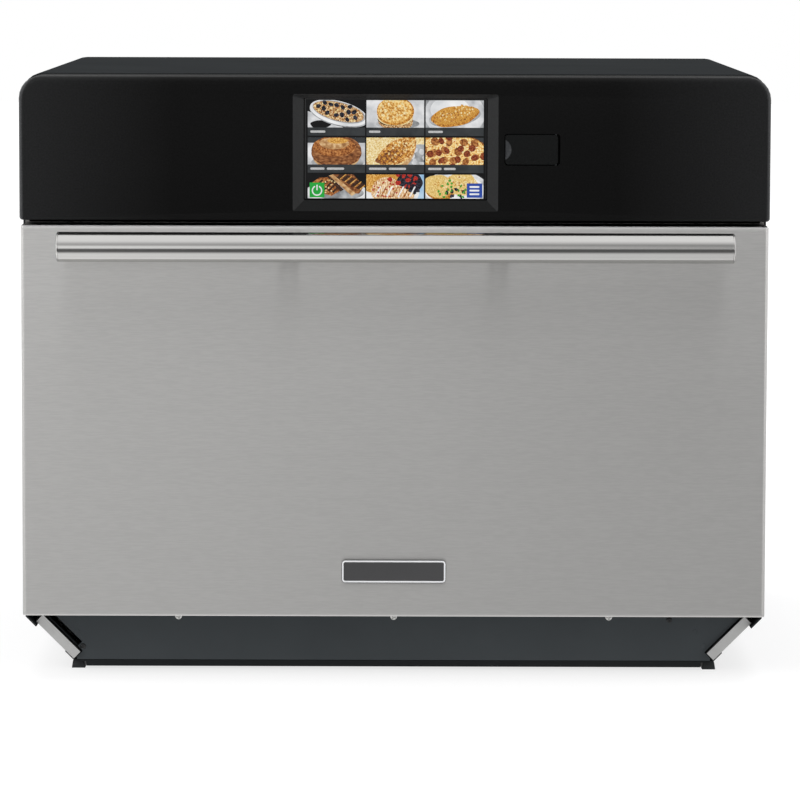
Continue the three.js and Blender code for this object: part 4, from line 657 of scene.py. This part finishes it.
def screen():
    """The lit picture under the glass, on a dark backing."""
    back = Parts()
    back.slab(rounded_box(SCREEN_X0 - 1.6, SCREEN_X1 + 1.6, SCREEN_Z0 - 0.7, SCREEN_Z1 + 0.7,
                          0.5, 3), PICTURE_BACK, GLASS_Y - 0.01)
    back.make("screen_backing", LIT, "cabinet", "screen_glass")

    bowl = Tile(0, 0, 3, "black")
    bowl.band("cloth", (0, 0), (62, 0), (40, 20), (12, 50), (0, 60)).up()
    bowl.oval("black", 22, 12, 17, 7, 0.2)
    bowl.oval("shade", 54, 48, 52, 20, 0, -14)
    bowl.oval("white", 54, 53, 51.5, 20.5, 0, -14)
    bowl.oval("shade", 54.5, 57, 47.5, 17.2, 0, -14)
    bowl.oval("crumble", 54, 58, 45.5, 15.8, 0.04, -14)
    bowl.scatter("cream", 26, 54, 58, 42, 13, 2.2, 0.4, -14)
    bowl.scatter("crust", 22, 54, 58, 42, 13, 1.7, 0.4, -14)
    bowl.scatter("berry", 15, 54, 61, 40, 13, 4.6, 0.1, -14)
    bowl.finish("bowl")

    bun = Tile(0, 1, 5, "cloth")
    bun.oval("shade", 54, 14, 38, 9)
    bun.oval("crumble", 51, 21, 31, 14, 0.06)
    bun.oval("dark", 49, 30, 30, 11, 0.10)
    bun.oval("cream", 50, 37, 31, 14, 0.04)
    bun.oval("amber", 50, 60, 32.5, 24.5, 0.02)
    bun.oval("bun", 49, 64, 30, 22.5, 0.03)
    bun.scatter("cream", 20, 46, 68, 24, 17, 3, 0.4)
    bun.scatter("amber", 20, 52, 60, 26, 16, 1.8, 0.4)
    bun.finish("bun")

    fold = Tile(0, 2, 8, "shade")
    fold.oval("cloth", 50, 50, 52, 42)
    fold.oval("white", 42, 66, 34, 22)
    fold.oval("shade", 50, 38, 44, 16, 0.05, 8)
    fold.oval("amber", 50, 42, 41, 17.5, 0.12, 12)
    fold.oval("strands", 51, 47, 37, 15.5, 0.16, 12)
    fold.scatter("gold", 30, 54, 52, 32, 12, 2.8, 0.5, 12)
    fold.scatter("cream", 22, 50, 54, 32, 11, 1.6, 0.5, 12)
    fold.scatter("crust", 24, 50, 44, 34, 12, 1.4, 0.5, 12)
    fold.finish("omelette")

    loaf = Tile(1, 0, 13, "cloth")
    loaf.band("slate", (0, 80), (100, 80), (100, 100), (0, 100)).up()
    loaf.oval("shade", 52, 8, 46, 12)
    loaf.oval("glaze", 50, 26, 40, 20, 0.03)
    loaf.oval("toast", 50, 42, 44, 24, 0.02)
    loaf.oval("loaf", 50, 52, 44, 26, 0.02)
    loaf.oval("crust", 46, 66, 38, 17, 0.03)
    loaf.oval("glaze", 46, 78, 26, 10, 0.05)
    loaf.oval("gold", 52, 88, 18, 5, 0.05)
    loaf.finish("loaf")

    cutlet = Tile(1, 1, 21, "cream")
    cutlet.oval("shade", 94, 16, 30, 28)
    cutlet.scatter("cloth", 9, 90, 26, 14, 14, 5, 0.3)
    cutlet.oval("glaze", 42, 40, 45, 32, 0.04, 24)
    cutlet.oval("cream", 40, 46, 42, 28, 0.04, 24)
    cutlet.oval("cutlet", 54, 48, 40, 19, 0.10, 30)
    cutlet.oval("toast", 38, 28, 22, 10, 0.18, 20)
    cutlet.scatter("amber", 30, 52, 50, 34, 15, 3, 0.5, 30)
    cutlet.scatter("cream", 16, 60, 60, 26, 11, 2.2, 0.5, 30)
    cutlet.scatter("crust", 24, 44, 40, 30, 13, 1.8, 0.5, 30)
    cutlet.finish("cutlet")

    pie = Tile(1, 2, 34, "slate")
    pie.oval("toast", 48, 40, 66, 36, 0.02, -6)
    pie.oval("amber", 48, 42, 64, 34, 0.03, -6)
    pie.oval("cheese", 48, 43, 60, 31, 0.05, -6)
    pie.scatter("cream", 46, 48, 42, 55, 27, 2.4, 0.5, -6)
    pie.scatter("amber", 34, 48, 42, 55, 27, 1.8, 0.5, -6)
    pie.scatter("red", 26, 48, 42, 55, 27, 1.1, 0.5, -6)
    pie.scatter("crust", 16, 48, 44, 54, 27, 7.4, 0.06, -6)
    pie.scatter("sausage", 14, 49, 43, 54, 27, 6.2, 0.06, -6)
    pie.finish("pie")

    toast = Tile(2, 0, 55, "black")
    toast.oval("cloth", 50, 22, 56, 20)
    toast.oval("white", 50, 26, 52, 17)
    toast.oval("shade", 56, 22, 42, 12)
    toast.band("crust", (8, 66), (20, 86), (34, 88), (58, 34), (42, 10),
               (14, 28)).up()
    for shift in range(5):
        u, v = 12 + 7.5 * shift, 44 - 5.5 * shift
        toast.band("dark", (u, v + 4), (u + 3, v), (u + 16, v + 32), (u + 12, v + 34))
    toast.up().band("dark", (33, 92), (39, 94), (63, 36), (57, 28)).up()
    toast.band("glaze", (37, 95), (44, 100), (84, 20), (77, 10))
    toast.band("toast", (44, 100), (80, 100), (98, 50), (90, 20), (84, 20)).up()
    for shift in range(5):
        u, v = 50 + 8.5 * shift, 84 - 11 * shift
        toast.band("dark", (u, v + 3), (u + 5, v - 3), (u + 17, v + 20), (u + 10, v + 24))
        toast.band("gold", (u + 6, v - 3), (u + 7, v - 5), (u + 19, v + 18), (u + 17.5, v + 20))
    toast.up().scatter("cream", 14, 34, 52, 16, 12, 1.4, 0.5)
    toast.finish("toast")

    waffle = Tile(2, 1, 89, "sky")
    waffle.oval("white", 42, 30, 50, 34)
    waffle.oval("gold", 14, 70, 22, 20, 0.12)
    waffle.oval("strands", 44, 86, 26, 12, 0.2)
    waffle.oval("waffle", 34, 32, 25, 24, 0.08, 20)
    waffle.oval("waffle", 64, 28, 20, 20, 0.08, -20)
    waffle.oval("berry", 76, 70, 22, 17, 0.3)
    for shift in range(7):
        u = 14 + 10 * shift
        waffle.band("crust" if shift % 2 else "white", (u, 6), (u + 2.5, 6), (u + 12, 50),
                    (u + 9.5, 50))
    waffle.up().scatter("red", 14, 64, 74, 24, 12, 4.6, 0.25)
    waffle.scatter("red", 16, 34, 40, 28, 14, 1.8, 0.4)
    waffle.scatter("berry", 9, 80, 50, 13, 12, 3, 0.4)
    waffle.finish("waffle")

    pasta = Tile(2, 2, 144, "black")
    pasta.oval("cloth", 52, 34, 58, 34)
    pasta.oval("white", 50, 36, 52, 27)
    pasta.oval("amber", 26, 40, 27, 20, 0.08)
    pasta.oval("noodles", 22, 52, 26, 20, 0.10)
    pasta.oval("noodles", 62, 60, 31, 19, 0.14)
    pasta.scatter("cream", 26, 60, 60, 28, 14, 3.4, 0.4)
    pasta.scatter("amber", 26, 50, 50, 36, 17, 1.6, 0.5)
    pasta.scatter("berry", 13, 50, 24, 18, 10, 3.6, 0.4)
    pasta.scatter("green", 18, 46, 36, 26, 18, 2.4, 0.5)
    pasta.finish("pasta")


def bezel():
    """A skin on the sloped walls of the screen's pocket, in painted light and shade, with a black
    inner rim of painted shadow.
    """
    glass_rim = 3
    low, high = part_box("touch_glass")
    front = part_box("control_panel")[0].y / MM
    x0, x1 = low.x / MM + glass_rim, high.x / MM - glass_rim
    z0, z1 = low.z / MM + glass_rim, high.z / MM - glass_rim
    # Each ring's reach past the window at its sides and top, corner radius and depth in the panel
    rings = [
        [(x, front + behind, z) for x, z in
         rounded_box(x0 - side, x1 + side, z0 - side, z1 + top, radius, 3)]
        for side, top, radius, behind in (
            (9.8, 3.8, 1.9, -0.02), (0.6, 0.12, 0.98, 4.51), (-0.2, -0.2, 0.9, 4.9),
            (0.3, 0.3, 1.3, 5.2), (10.3, 4.3, 2.3, 0.4))]
    # Painted light and shade: the top wall is lighter and the bottom wall darker than the side
    # walls, and the inner rim is black painted shadow.
    finishes = [bezel_plastic, bezel_foot_shaded, bezel_brow_lit, bezel_painted_shadow]
    count = len(rings[0])
    skin = Parts()
    skin.verts = [point for ring in rings for point in ring]
    for ring in range(len(rings)):
        after = (ring + 1) % len(rings)
        for i in range(count):
            j = (i + 1) % count
            (u0, _, v0), (u1, _, v1) = rings[0][i], rings[0][j]
            level = abs(u1 - u0) > abs(v1 - v0)
            finish = bezel_painted_shadow if ring else bezel_plastic
            if level and not ring:
                finish = bezel_foot_shaded if u1 > u0 else bezel_brow_lit
            skin.faces.append((ring * count + i, ring * count + j, after * count + j,
                               after * count + i))
            skin.looks.append(finishes.index(finish))
    skin.make("screen_bezel", finishes, "cabinet", "black_plastic")


def gap_shadow_strip():
    """A black strip of painted shadow on the cabinet's front frame, behind the gap above the door.
    """
    thick, sunk_in, start, height, end_gap = 0.8, 0.05, 0.2, 7, 4
    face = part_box("front_frame")[0].y / MM
    door_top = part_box("door_skin")[1].z / MM
    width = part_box("door_skin")[1].x / MM - end_gap
    strip = Parts()
    strip.bar((-width, face - thick, door_top + start), (width, face + sunk_in, door_top + height))
    strip.make("gap_shadow_strip", [bezel_painted_shadow], "cabinet", "black_plastic")


def ring(parts, x, z, radius, width, near, far, look, start, end, count=32):
    """A flat arc between two angles in degrees."""
    steps = count + 1
    outer, inner = [], []
    for i in range(steps):
        a = math.radians(start + (end - start) * i / count)
        outer.append((x + radius * math.cos(a), z + radius * math.sin(a)))
        inner.append((x + (radius - width) * math.cos(a), z + (radius - width) * math.sin(a)))
    verts = [(u, y, v) for y in (near, far) for line in (outer, inner) for u, v in line]
    back, last = 2 * steps, steps - 1
    faces = []
    for o in range(last):
        n, p, q = o + 1, steps + o, steps + o + 1
        faces += [(o, n, q, p), (back + o, back + p, back + q, back + n),
                  (o, back + o, back + n, n), (p, q, back + q, back + p)]
    faces += [(0, steps, back + steps, back),
              (last, back + last, back + steps + last, steps + last)]
    parts.shape(verts, faces, look)


def buttons():
    """A power button low on the left of the screen, and a menu button low on its right."""
    layers, half_bar = 12, 0.75
    back = PICTURE_BACK - LAYER
    front = PICTURE_BACK - layers * LAYER
    glyph = front - LAYER
    white = LOOKS.index("white")
    power = Parts()
    power.slab(rounded_box(-72.7, -60.0, 416.6, 429.2, 0.3, 2), front, back, LOOKS.index("go"))
    ring(power, -66.35, 422.4, 4.5, 1.1, glyph, front, white, 115, 425)
    power.slab(rounded_box(-66.9, -65.8, 422.6, 427.4, 0.4, 3), glyph, front, white)
    power.make("screen_power_button", LIT, "cabinet", "screen_glass")
    menu = Parts()
    menu.slab(rounded_box(61.5, 74.7, 416.6, 428.8, 0.3, 2), front, back, LOOKS.index("menu"))
    for z in (419.6, 422.7, 425.8):
        bar = rounded_box(63.8, 72.2, z - half_bar, z + half_bar, 0.6, 3)
        menu.slab(bar, glyph, front, white)
    menu.make("screen_menu_button", LIT, "cabinet", "screen_glass")


screen()
bezel()
gap_shadow_strip()
buttons()


# Screws

def screw_head(radius, height, recess=True, rings=9, count=32):
    """A domed head with a cross recess, as a height field on a disc that seats at zero."""
    fall, fall_power = 0.92, 3.2
    half_slot, slot_reach, slot_depth = 0.13 * radius, 0.56 * radius, 0.42 * height
    verts, faces = [], []
    for i in range(rings + 1):
        share = i / rings
        r = radius * share
        for j in range(count):
            a = 2 * math.pi * j / count
            x, y = r * math.cos(a), r * math.sin(a)
            z = height * math.sqrt(1 - fall * share ** fall_power)
            near, far = sorted((abs(x), abs(y)))
            slotted = recess and near < half_slot and far < slot_reach
            verts.append((x, y, z - slot_depth if slotted else z))
    for i in range(rings):
        for j in range(count):
            k = (j + 1) % count
            a, b, c, d = i * count + j, i * count + k, (i + 1) * count + k, (i + 1) * count + j
            faces.append((a, d, c, b) if i else (0, d, c))
    used = sorted({v for face in faces for v in face})
    index = {v: n for n, v in enumerate(used)}
    verts = [verts[v] for v in used]
    faces = [tuple(index[v] for v in face) for face in faces]
    rim = [index[rings * count + j] for j in range(count)]
    base = len(verts)
    verts += [(verts[v][0], verts[v][1], 0.0) for v in rim]
    for j in range(count):
        k = (j + 1) % count
        faces.append((rim[j], base + j, base + k, rim[k]))
    faces.append(tuple(base + j for j in reversed(range(count))))
    return verts, faces


def screws(name, places, size, normal, material, body, slot, recess=True):
    """Heads of one kind on one body. The normal points out of the seat."""
    first_turn, turn_step = 17, 41
    parts = Parts()
    verts, faces = screw_head(*size, recess)
    aim = Vector((0, 0, 1)).rotation_difference(Vector(normal)).to_matrix()
    for i, place in enumerate(places):
        spin = Matrix.Rotation(math.radians(first_turn + turn_step * i), 3, "Z")
        parts.shape([aim @ spin @ Vector(v) + Vector(place) for v in verts], faces)
    parts.make(name, [material], body, slot, smooth=True)


FRONT, BACK = (0, -1, 0), (0, 1, 0)
BODY_HALF = 320.5
CHIN_WALL = 1.5
# Radius and height of each kind of head
CHIN_SCREW, END_SCREW, DIMPLE = (3.4, 1.8), (2.5, 1.3), (2.2, 0.35)
CASE_SCREW, MOUTH_SCREW, PLATE_SCREW = (3.6, 1.9), (3.0, 1.4), (2.6, 1.0)

chin_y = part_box("chin_panel")[1].y / MM - CHIN_WALL
screws("chin_screws", [(x, chin_y, 47.2) for x in (-188, 0, 188)], CHIN_SCREW, FRONT,
       screw_steel, "cabinet", "polished_steel")
screws("chin_end_screws", [(-271.6, chin_y, 20.2), (240.9, chin_y, 44.6)], END_SCREW, FRONT,
       dark_screw, "cabinet", "black_plastic")
screws("chin_dimples", [(-276.5, chin_y, 33.3), (263.4, chin_y, 34.3), (271.4, chin_y, 22.0)],
       DIMPLE, FRONT, chin_paint_lightened, "cabinet", "painted_steel", recess=False)
rear_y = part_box("rear_panel")[1].y / MM
rear_rows = [(x, rear_y, 508) for x in (-290, -145, 0, 145, 290)]
rear_rows += [(x, rear_y, z) for x in (-309, 309) for z in (80, 220, 380, 480)]
rear_rows += [(x, rear_y, 18) for x in (-250, -85, 85, 250)]
screws("rear_screws", rear_rows, CASE_SCREW, BACK, screw_steel, "cabinet", "polished_steel")
for name, side in (("left", -1), ("right", 1)):
    screws(f"side_screws_{name}", [(side * BODY_HALF, y, 66) for y in (-180, 50, 290)],
           CASE_SCREW, (side, 0, 0), dark_screw, "cabinet", "painted_steel")
mouth_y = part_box("front_frame")[0].y / MM
screws("mouth_screws", [(x, mouth_y, z) for x in (-262, 262) for z in (140, 240, 320)],
       MOUTH_SCREW, FRONT, screw_steel, "cabinet", "polished_steel")
plate_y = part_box("door_inner")[1].y / MM
screws("door_plate_screws", [(x, plate_y, z) for x in (-303, 303) for z in (130, 210, 290, 370)],
       PLATE_SCREW, BACK, screw_steel, "door", "polished_steel")


def nameplate():
    """A pale raised border on the nameplate, whose face is left bare."""
    outer_gap, inner_gap, corner_radius, rise, sunk_in = 0.5, 1.9, 3.4, 0.2, 0.05
    low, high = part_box("nameplate")
    x0, x1, z0, z1 = (value / MM for value in (low.x, high.x, low.z, high.z))
    face = low.y / MM
    loops = [rounded_box(x0 + gap, x1 - gap, z0 + gap, z1 - gap, corner_radius - gap, 6)
             for gap in (outer_gap, inner_gap)]
    count = len(loops[0])
    verts = [(x, y, z) for y in (face - rise, face + sunk_in) for loop in loops for x, z in loop]
    faces = []
    for i in range(count):
        j = (i + 1) % count
        pairs = [(loop * count + i, loop * count + j) for loop in (0, 1, 3, 2)]
        faces += [(a, b, d, c) for (a, b), (c, d) in zip(pairs, pairs[1:] + pairs[:1])]
    border = Parts()
    border.shape(verts, faces)
    border.make("nameplate_border", [pale_trim], "door", "grey_plastic")


nameplate()


# Air filters, with sizes of the CAD frames and of the woven wire in their windows

FILTER_BARS, FILTER_BAR, FILTER_RIM, FILTER_END_RIM = 4, 3.0, 6.0, 12.0
FILTER_WALL, FILTER_WEB = 8.5, 2.0
MESH_GAP, MESH_PITCH = 0.1, 2.4
WIRE, WIRE_LIFT, CROSS_LIFT = 0.6, 0.55, 0.62
CORE_LIFT, CORE_DEPTH = 0.15, 0.5


def filter_meshes(name, side):
    """Wires lie flat in the filter's own plane and are then turned into the sloped corner."""
    low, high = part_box(f"air_filter_{name}")
    length = (high.y - low.y) / MM
    # The filter's box leans by half a right angle: its width follows from the box and the wall.
    half = ((high.x - low.x) / MM * math.sqrt(2) - FILTER_WALL) / 2
    panes = FILTER_BARS + 1
    pane = (length - 2 * FILTER_END_RIM - FILTER_BARS * FILTER_BAR) / panes
    middle = Vector(((low.x + high.x) / 2, low.y, (low.z + high.z) / 2)) / MM
    rotation = Matrix.Rotation(-side * math.pi / 4, 4, "Y")
    centre = middle - rotation @ Vector((0, 0, FILTER_WALL / 2))
    turn = Matrix.Translation(centre * MM) @ rotation
    pocket = (FILTER_WALL - FILTER_WEB) / 2
    reach = half - FILTER_RIM - MESH_GAP
    wires, cores = Parts(), Parts()
    for index in range(panes):
        start = FILTER_END_RIM + index * (pane + FILTER_BAR) + MESH_GAP
        end = start + pane - 2 * MESH_GAP
        for face, sign in ((pocket, -1), (FILTER_WALL - pocket, 1)):
            near = face + sign * CORE_LIFT
            core = sorted((near, near + sign * CORE_DEPTH))
            # The core is a dark sheet of painted shade behind the wires.
            cores.bar((-reach, start, core[0]), (reach, end, core[1]))
            wire = near + sign * WIRE_LIFT
            steps = int(pane / MESH_PITCH)
            levels = sorted((wire, wire + sign * WIRE))
            for i in range(steps):
                y = start + (i + 0.5) * (end - start) / steps
                wires.bar((-reach, y - WIRE / 2, levels[0]), (reach, y + WIRE / 2, levels[1]))
            steps = int(2 * reach / MESH_PITCH)
            levels = sorted((wire + sign * CROSS_LIFT, wire + sign * 2 * WIRE))
            for i in range(steps):
                x = -reach + (i + 0.5) * 2 * reach / steps
                wires.bar((x - WIRE / 2, start, levels[0]), (x + WIRE / 2, end, levels[1]))
    body = f"filter_{name}"
    wires.make(f"filter_wires_{name}", [mesh_wire], body, "filter_aluminium", turn=turn)
    cores.make(f"filter_core_{name}", [filter_core_shade], body, "filter_aluminium", turn=turn)


filter_meshes("left", -1)
filter_meshes("right", 1)


def usb_port():
    """Tongue and contacts in the USB port."""
    contacts, pitch, half_contact, half_tongue = 4, 2.4, 0.55, 5.2
    low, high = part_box("usb_socket")
    middle = (low + high) / 2 / MM
    front, back = low.y / MM, high.y / MM
    parts = Parts()
    parts.bar((middle.x - half_tongue, front + 0.8, middle.z - 0.1),
              (middle.x + half_tongue, back - 1.6, middle.z + 1.7))
    for i in range(contacts):
        x = middle.x - (contacts - 1) / 2 * pitch + pitch * i
        parts.bar((x - half_contact, front + 1.2, middle.z - 0.35),
                  (x + half_contact, back - 1.8, middle.z - 0.12), 1)
    parts.make("usb_port_tongue", [switch_plastic, copper], "cabinet", "black_plastic")


usb_port()


# Floor, light and surroundings

def ray_share(tree, *kinds):
    """One where the ray is of a named kind, and zero elsewhere."""
    path = tree.nodes.new("ShaderNodeLightPath")
    total = path.outputs[kinds[0]]
    for kind in kinds[1:]:
        total = math_node(tree, "MAXIMUM", total, path.outputs[kind])
    return total


def floor():
    """White counter. Far from the oven it glows a little more, so that it stays white there."""
    white, seen_drop, mirrored_drop = 0.85, -0.49, -0.75
    material, tree, shader = new_material("floor_white")
    tree.nodes.remove(shader)
    distance = add(tree, "ShaderNodeVectorMath", operation="LENGTH", Vector=coordinates(tree))
    spot = axes(tree)
    seen = ray_share(tree, "Is Camera Ray")
    mirrored = ray_share(tree, "Is Glossy Ray", "Is Transmission Ray")
    # Mirrored in the oven the counter is white up to a dark strip at its front edge. The room
    # beyond is pale, and paler on the left.
    counter = greys(tree, span(tree, spot["Y"], 0.0, 1.0, -1.4, -0.25), (0.0, 0.0), (0.34, 0.02),
                    (0.44, 0.2), (0.55, 0.6), (0.66, 0.82), (0.87, 0.78), (1.0, 1.0))
    room = span(tree, spot["Y"], 0.7, 0.0, -6.0, -2.5)
    slant = span(tree, spot["X"], 1.05, 0.8, -0.35, 0.35)
    front = product(tree, math_node(tree, "ADD", room, counter), slant)
    far_glow = span(tree, distance.outputs["Value"], 0.74, 0.96, 0.7, 1.8)
    shade = math_node(tree, "MULTIPLY_ADD", seen, seen_drop, white)
    shade = math_node(tree, "MULTIPLY_ADD", mirrored, mirrored_drop, shade)
    level = math_node(tree, "MULTIPLY_ADD", front, mirrored, product(tree, far_glow, seen))
    total = tree.nodes.new("ShaderNodeAddShader")
    feed(tree, total.inputs[0], add(tree, "ShaderNodeBsdfDiffuse", Color=shade).outputs[0])
    feed(tree, total.inputs[1], add(tree, "ShaderNodeEmission", Strength=level).outputs[0])
    put(tree, starter(tree, "OUTPUT_MATERIAL"), Surface=total.outputs[0])
    reach = 14.0
    mesh = bpy.data.meshes.new("floor")
    mesh.from_pydata([(-reach, -reach, 0), (reach, -reach, 0), (reach, reach, 0),
                      (-reach, reach, 0)], [], [(0, 1, 2, 3)])
    mesh.materials.append(material)
    obj = new_object("floor", mesh)


def surroundings():
    """A studio that the oven mirrors as white, but for the dim side on which the camera stands."""
    world = bpy.data.worlds.new("studio")
    scene.world = world
    world.use_nodes = True
    tree = world.node_tree
    toward = axes(tree, "Generated")
    ahead = span(tree, toward["Y"], 1.0, 0.0, -0.85, -0.35)
    aside = span(tree, math_node(tree, "ABSOLUTE", toward["X"]), 1.0, 0.0, 0.2, 0.45)
    rise = greys(tree, toward["Z"], (0.0, 0.76), (0.2, 0.78), (0.33, 0.46), (0.47, 0.46),
                 (0.69, 0.7), (0.86, 1.0))
    # Low in front it is lighter on the left.
    slant = span(tree, toward["X"], 1.45, 0.5, -0.08, 0.08)
    even = span(tree, toward["Z"], 0.0, 1.0, 0.3, 0.5)
    slant = math_node(tree, "MULTIPLY_ADD", math_node(tree, "SUBTRACT", 1.0, slant), even, slant)
    # Low behind the oven it is dim.
    behind = span(tree, toward["Y"], 0.0, 0.95, 0.8, 0.93)
    low = span(tree, toward["Z"], 1.0, 0.0, 0.25, 0.5)
    dimmed = math_node(tree, "SUBTRACT", 1.0, product(tree, behind, low))
    mirrored = blend(tree, dimmed, product(tree, rise, slant), product(tree, ahead, aside))
    shone = blend(tree, (0.5, 0.5, 0.51, 1), mirrored,
                  ray_share(tree, "Is Glossy Ray", "Is Transmission Ray"))
    seen = blend(tree, shone, (1, 1, 1, 1), ray_share(tree, "Is Camera Ray"))
    put(tree, starter(tree, "BACKGROUND"), Color=seen, Strength=1.0)


def light(name, place, aim, size, watts, mirrored):
    data = bpy.data.lights.new(name, "AREA")
    data.shape = "RECTANGLE"
    data.size, data.size_y = size
    data.energy = watts
    obj = new_object(name, data)
    obj.location = place
    obj.rotation_euler = (Vector(aim) - Vector(place)).to_track_quat("-Z", "Y").to_euler()
    obj.visible_glossy = mirrored


# Name, place, the point it aims at, size, watts, and whether the oven mirrors it
LIGHTS = (
    ("key", (-2.4, -2.6, 2.6), (0, 0, 0.25), (2.2, 2.2), 66, False),
    ("fill", (2.8, -2.2, 1.8), (0, 0, 0.25), (1.8, 1.8), 14, False),
    ("left_strip", (-2.5, -2.2, 0.5), (0, -0.3, 0.4), (0.6, 1.2), 4, True),
    ("right_strip", (2.5, -2.2, 0.5), (0, -0.3, 0.4), (0.6, 1.2), 4, True),
    ("overhead", (0.0, 0.4, 3.0), (0, 0, 0.3), (2.6, 2.6), 40, False),
    ("back", (0.6, 3.0, 2.0), (0, 0, 0.3), (2.0, 1.6), 26, False),
)
CAMERA_PLACE = (0.0039, -4.1241, 0.6319)
CAMERA_DOWN, CAMERA_ROLL = 5.803, -0.16  # degrees
SENSOR_WIDTH = 36
PICTURE_WIDTH, FOCAL_LENGTH = 808, 4526  # pixels


def camera():
    data = bpy.data.cameras.new("camera")
    data.sensor_fit = "AUTO"
    data.sensor_width = SENSOR_WIDTH
    data.lens = SENSOR_WIDTH * FOCAL_LENGTH / PICTURE_WIDTH
    data.clip_end = 60
    obj = new_object("camera", data)
    obj.location = CAMERA_PLACE
    obj.rotation_euler = (math.radians(90 - CAMERA_DOWN), math.radians(CAMERA_ROLL), 0)
    scene.camera = obj


floor()
surroundings()
for lamp_row in LIGHTS:
    light(*lamp_row)
camera()
scene.view_settings.view_transform = "Standard"
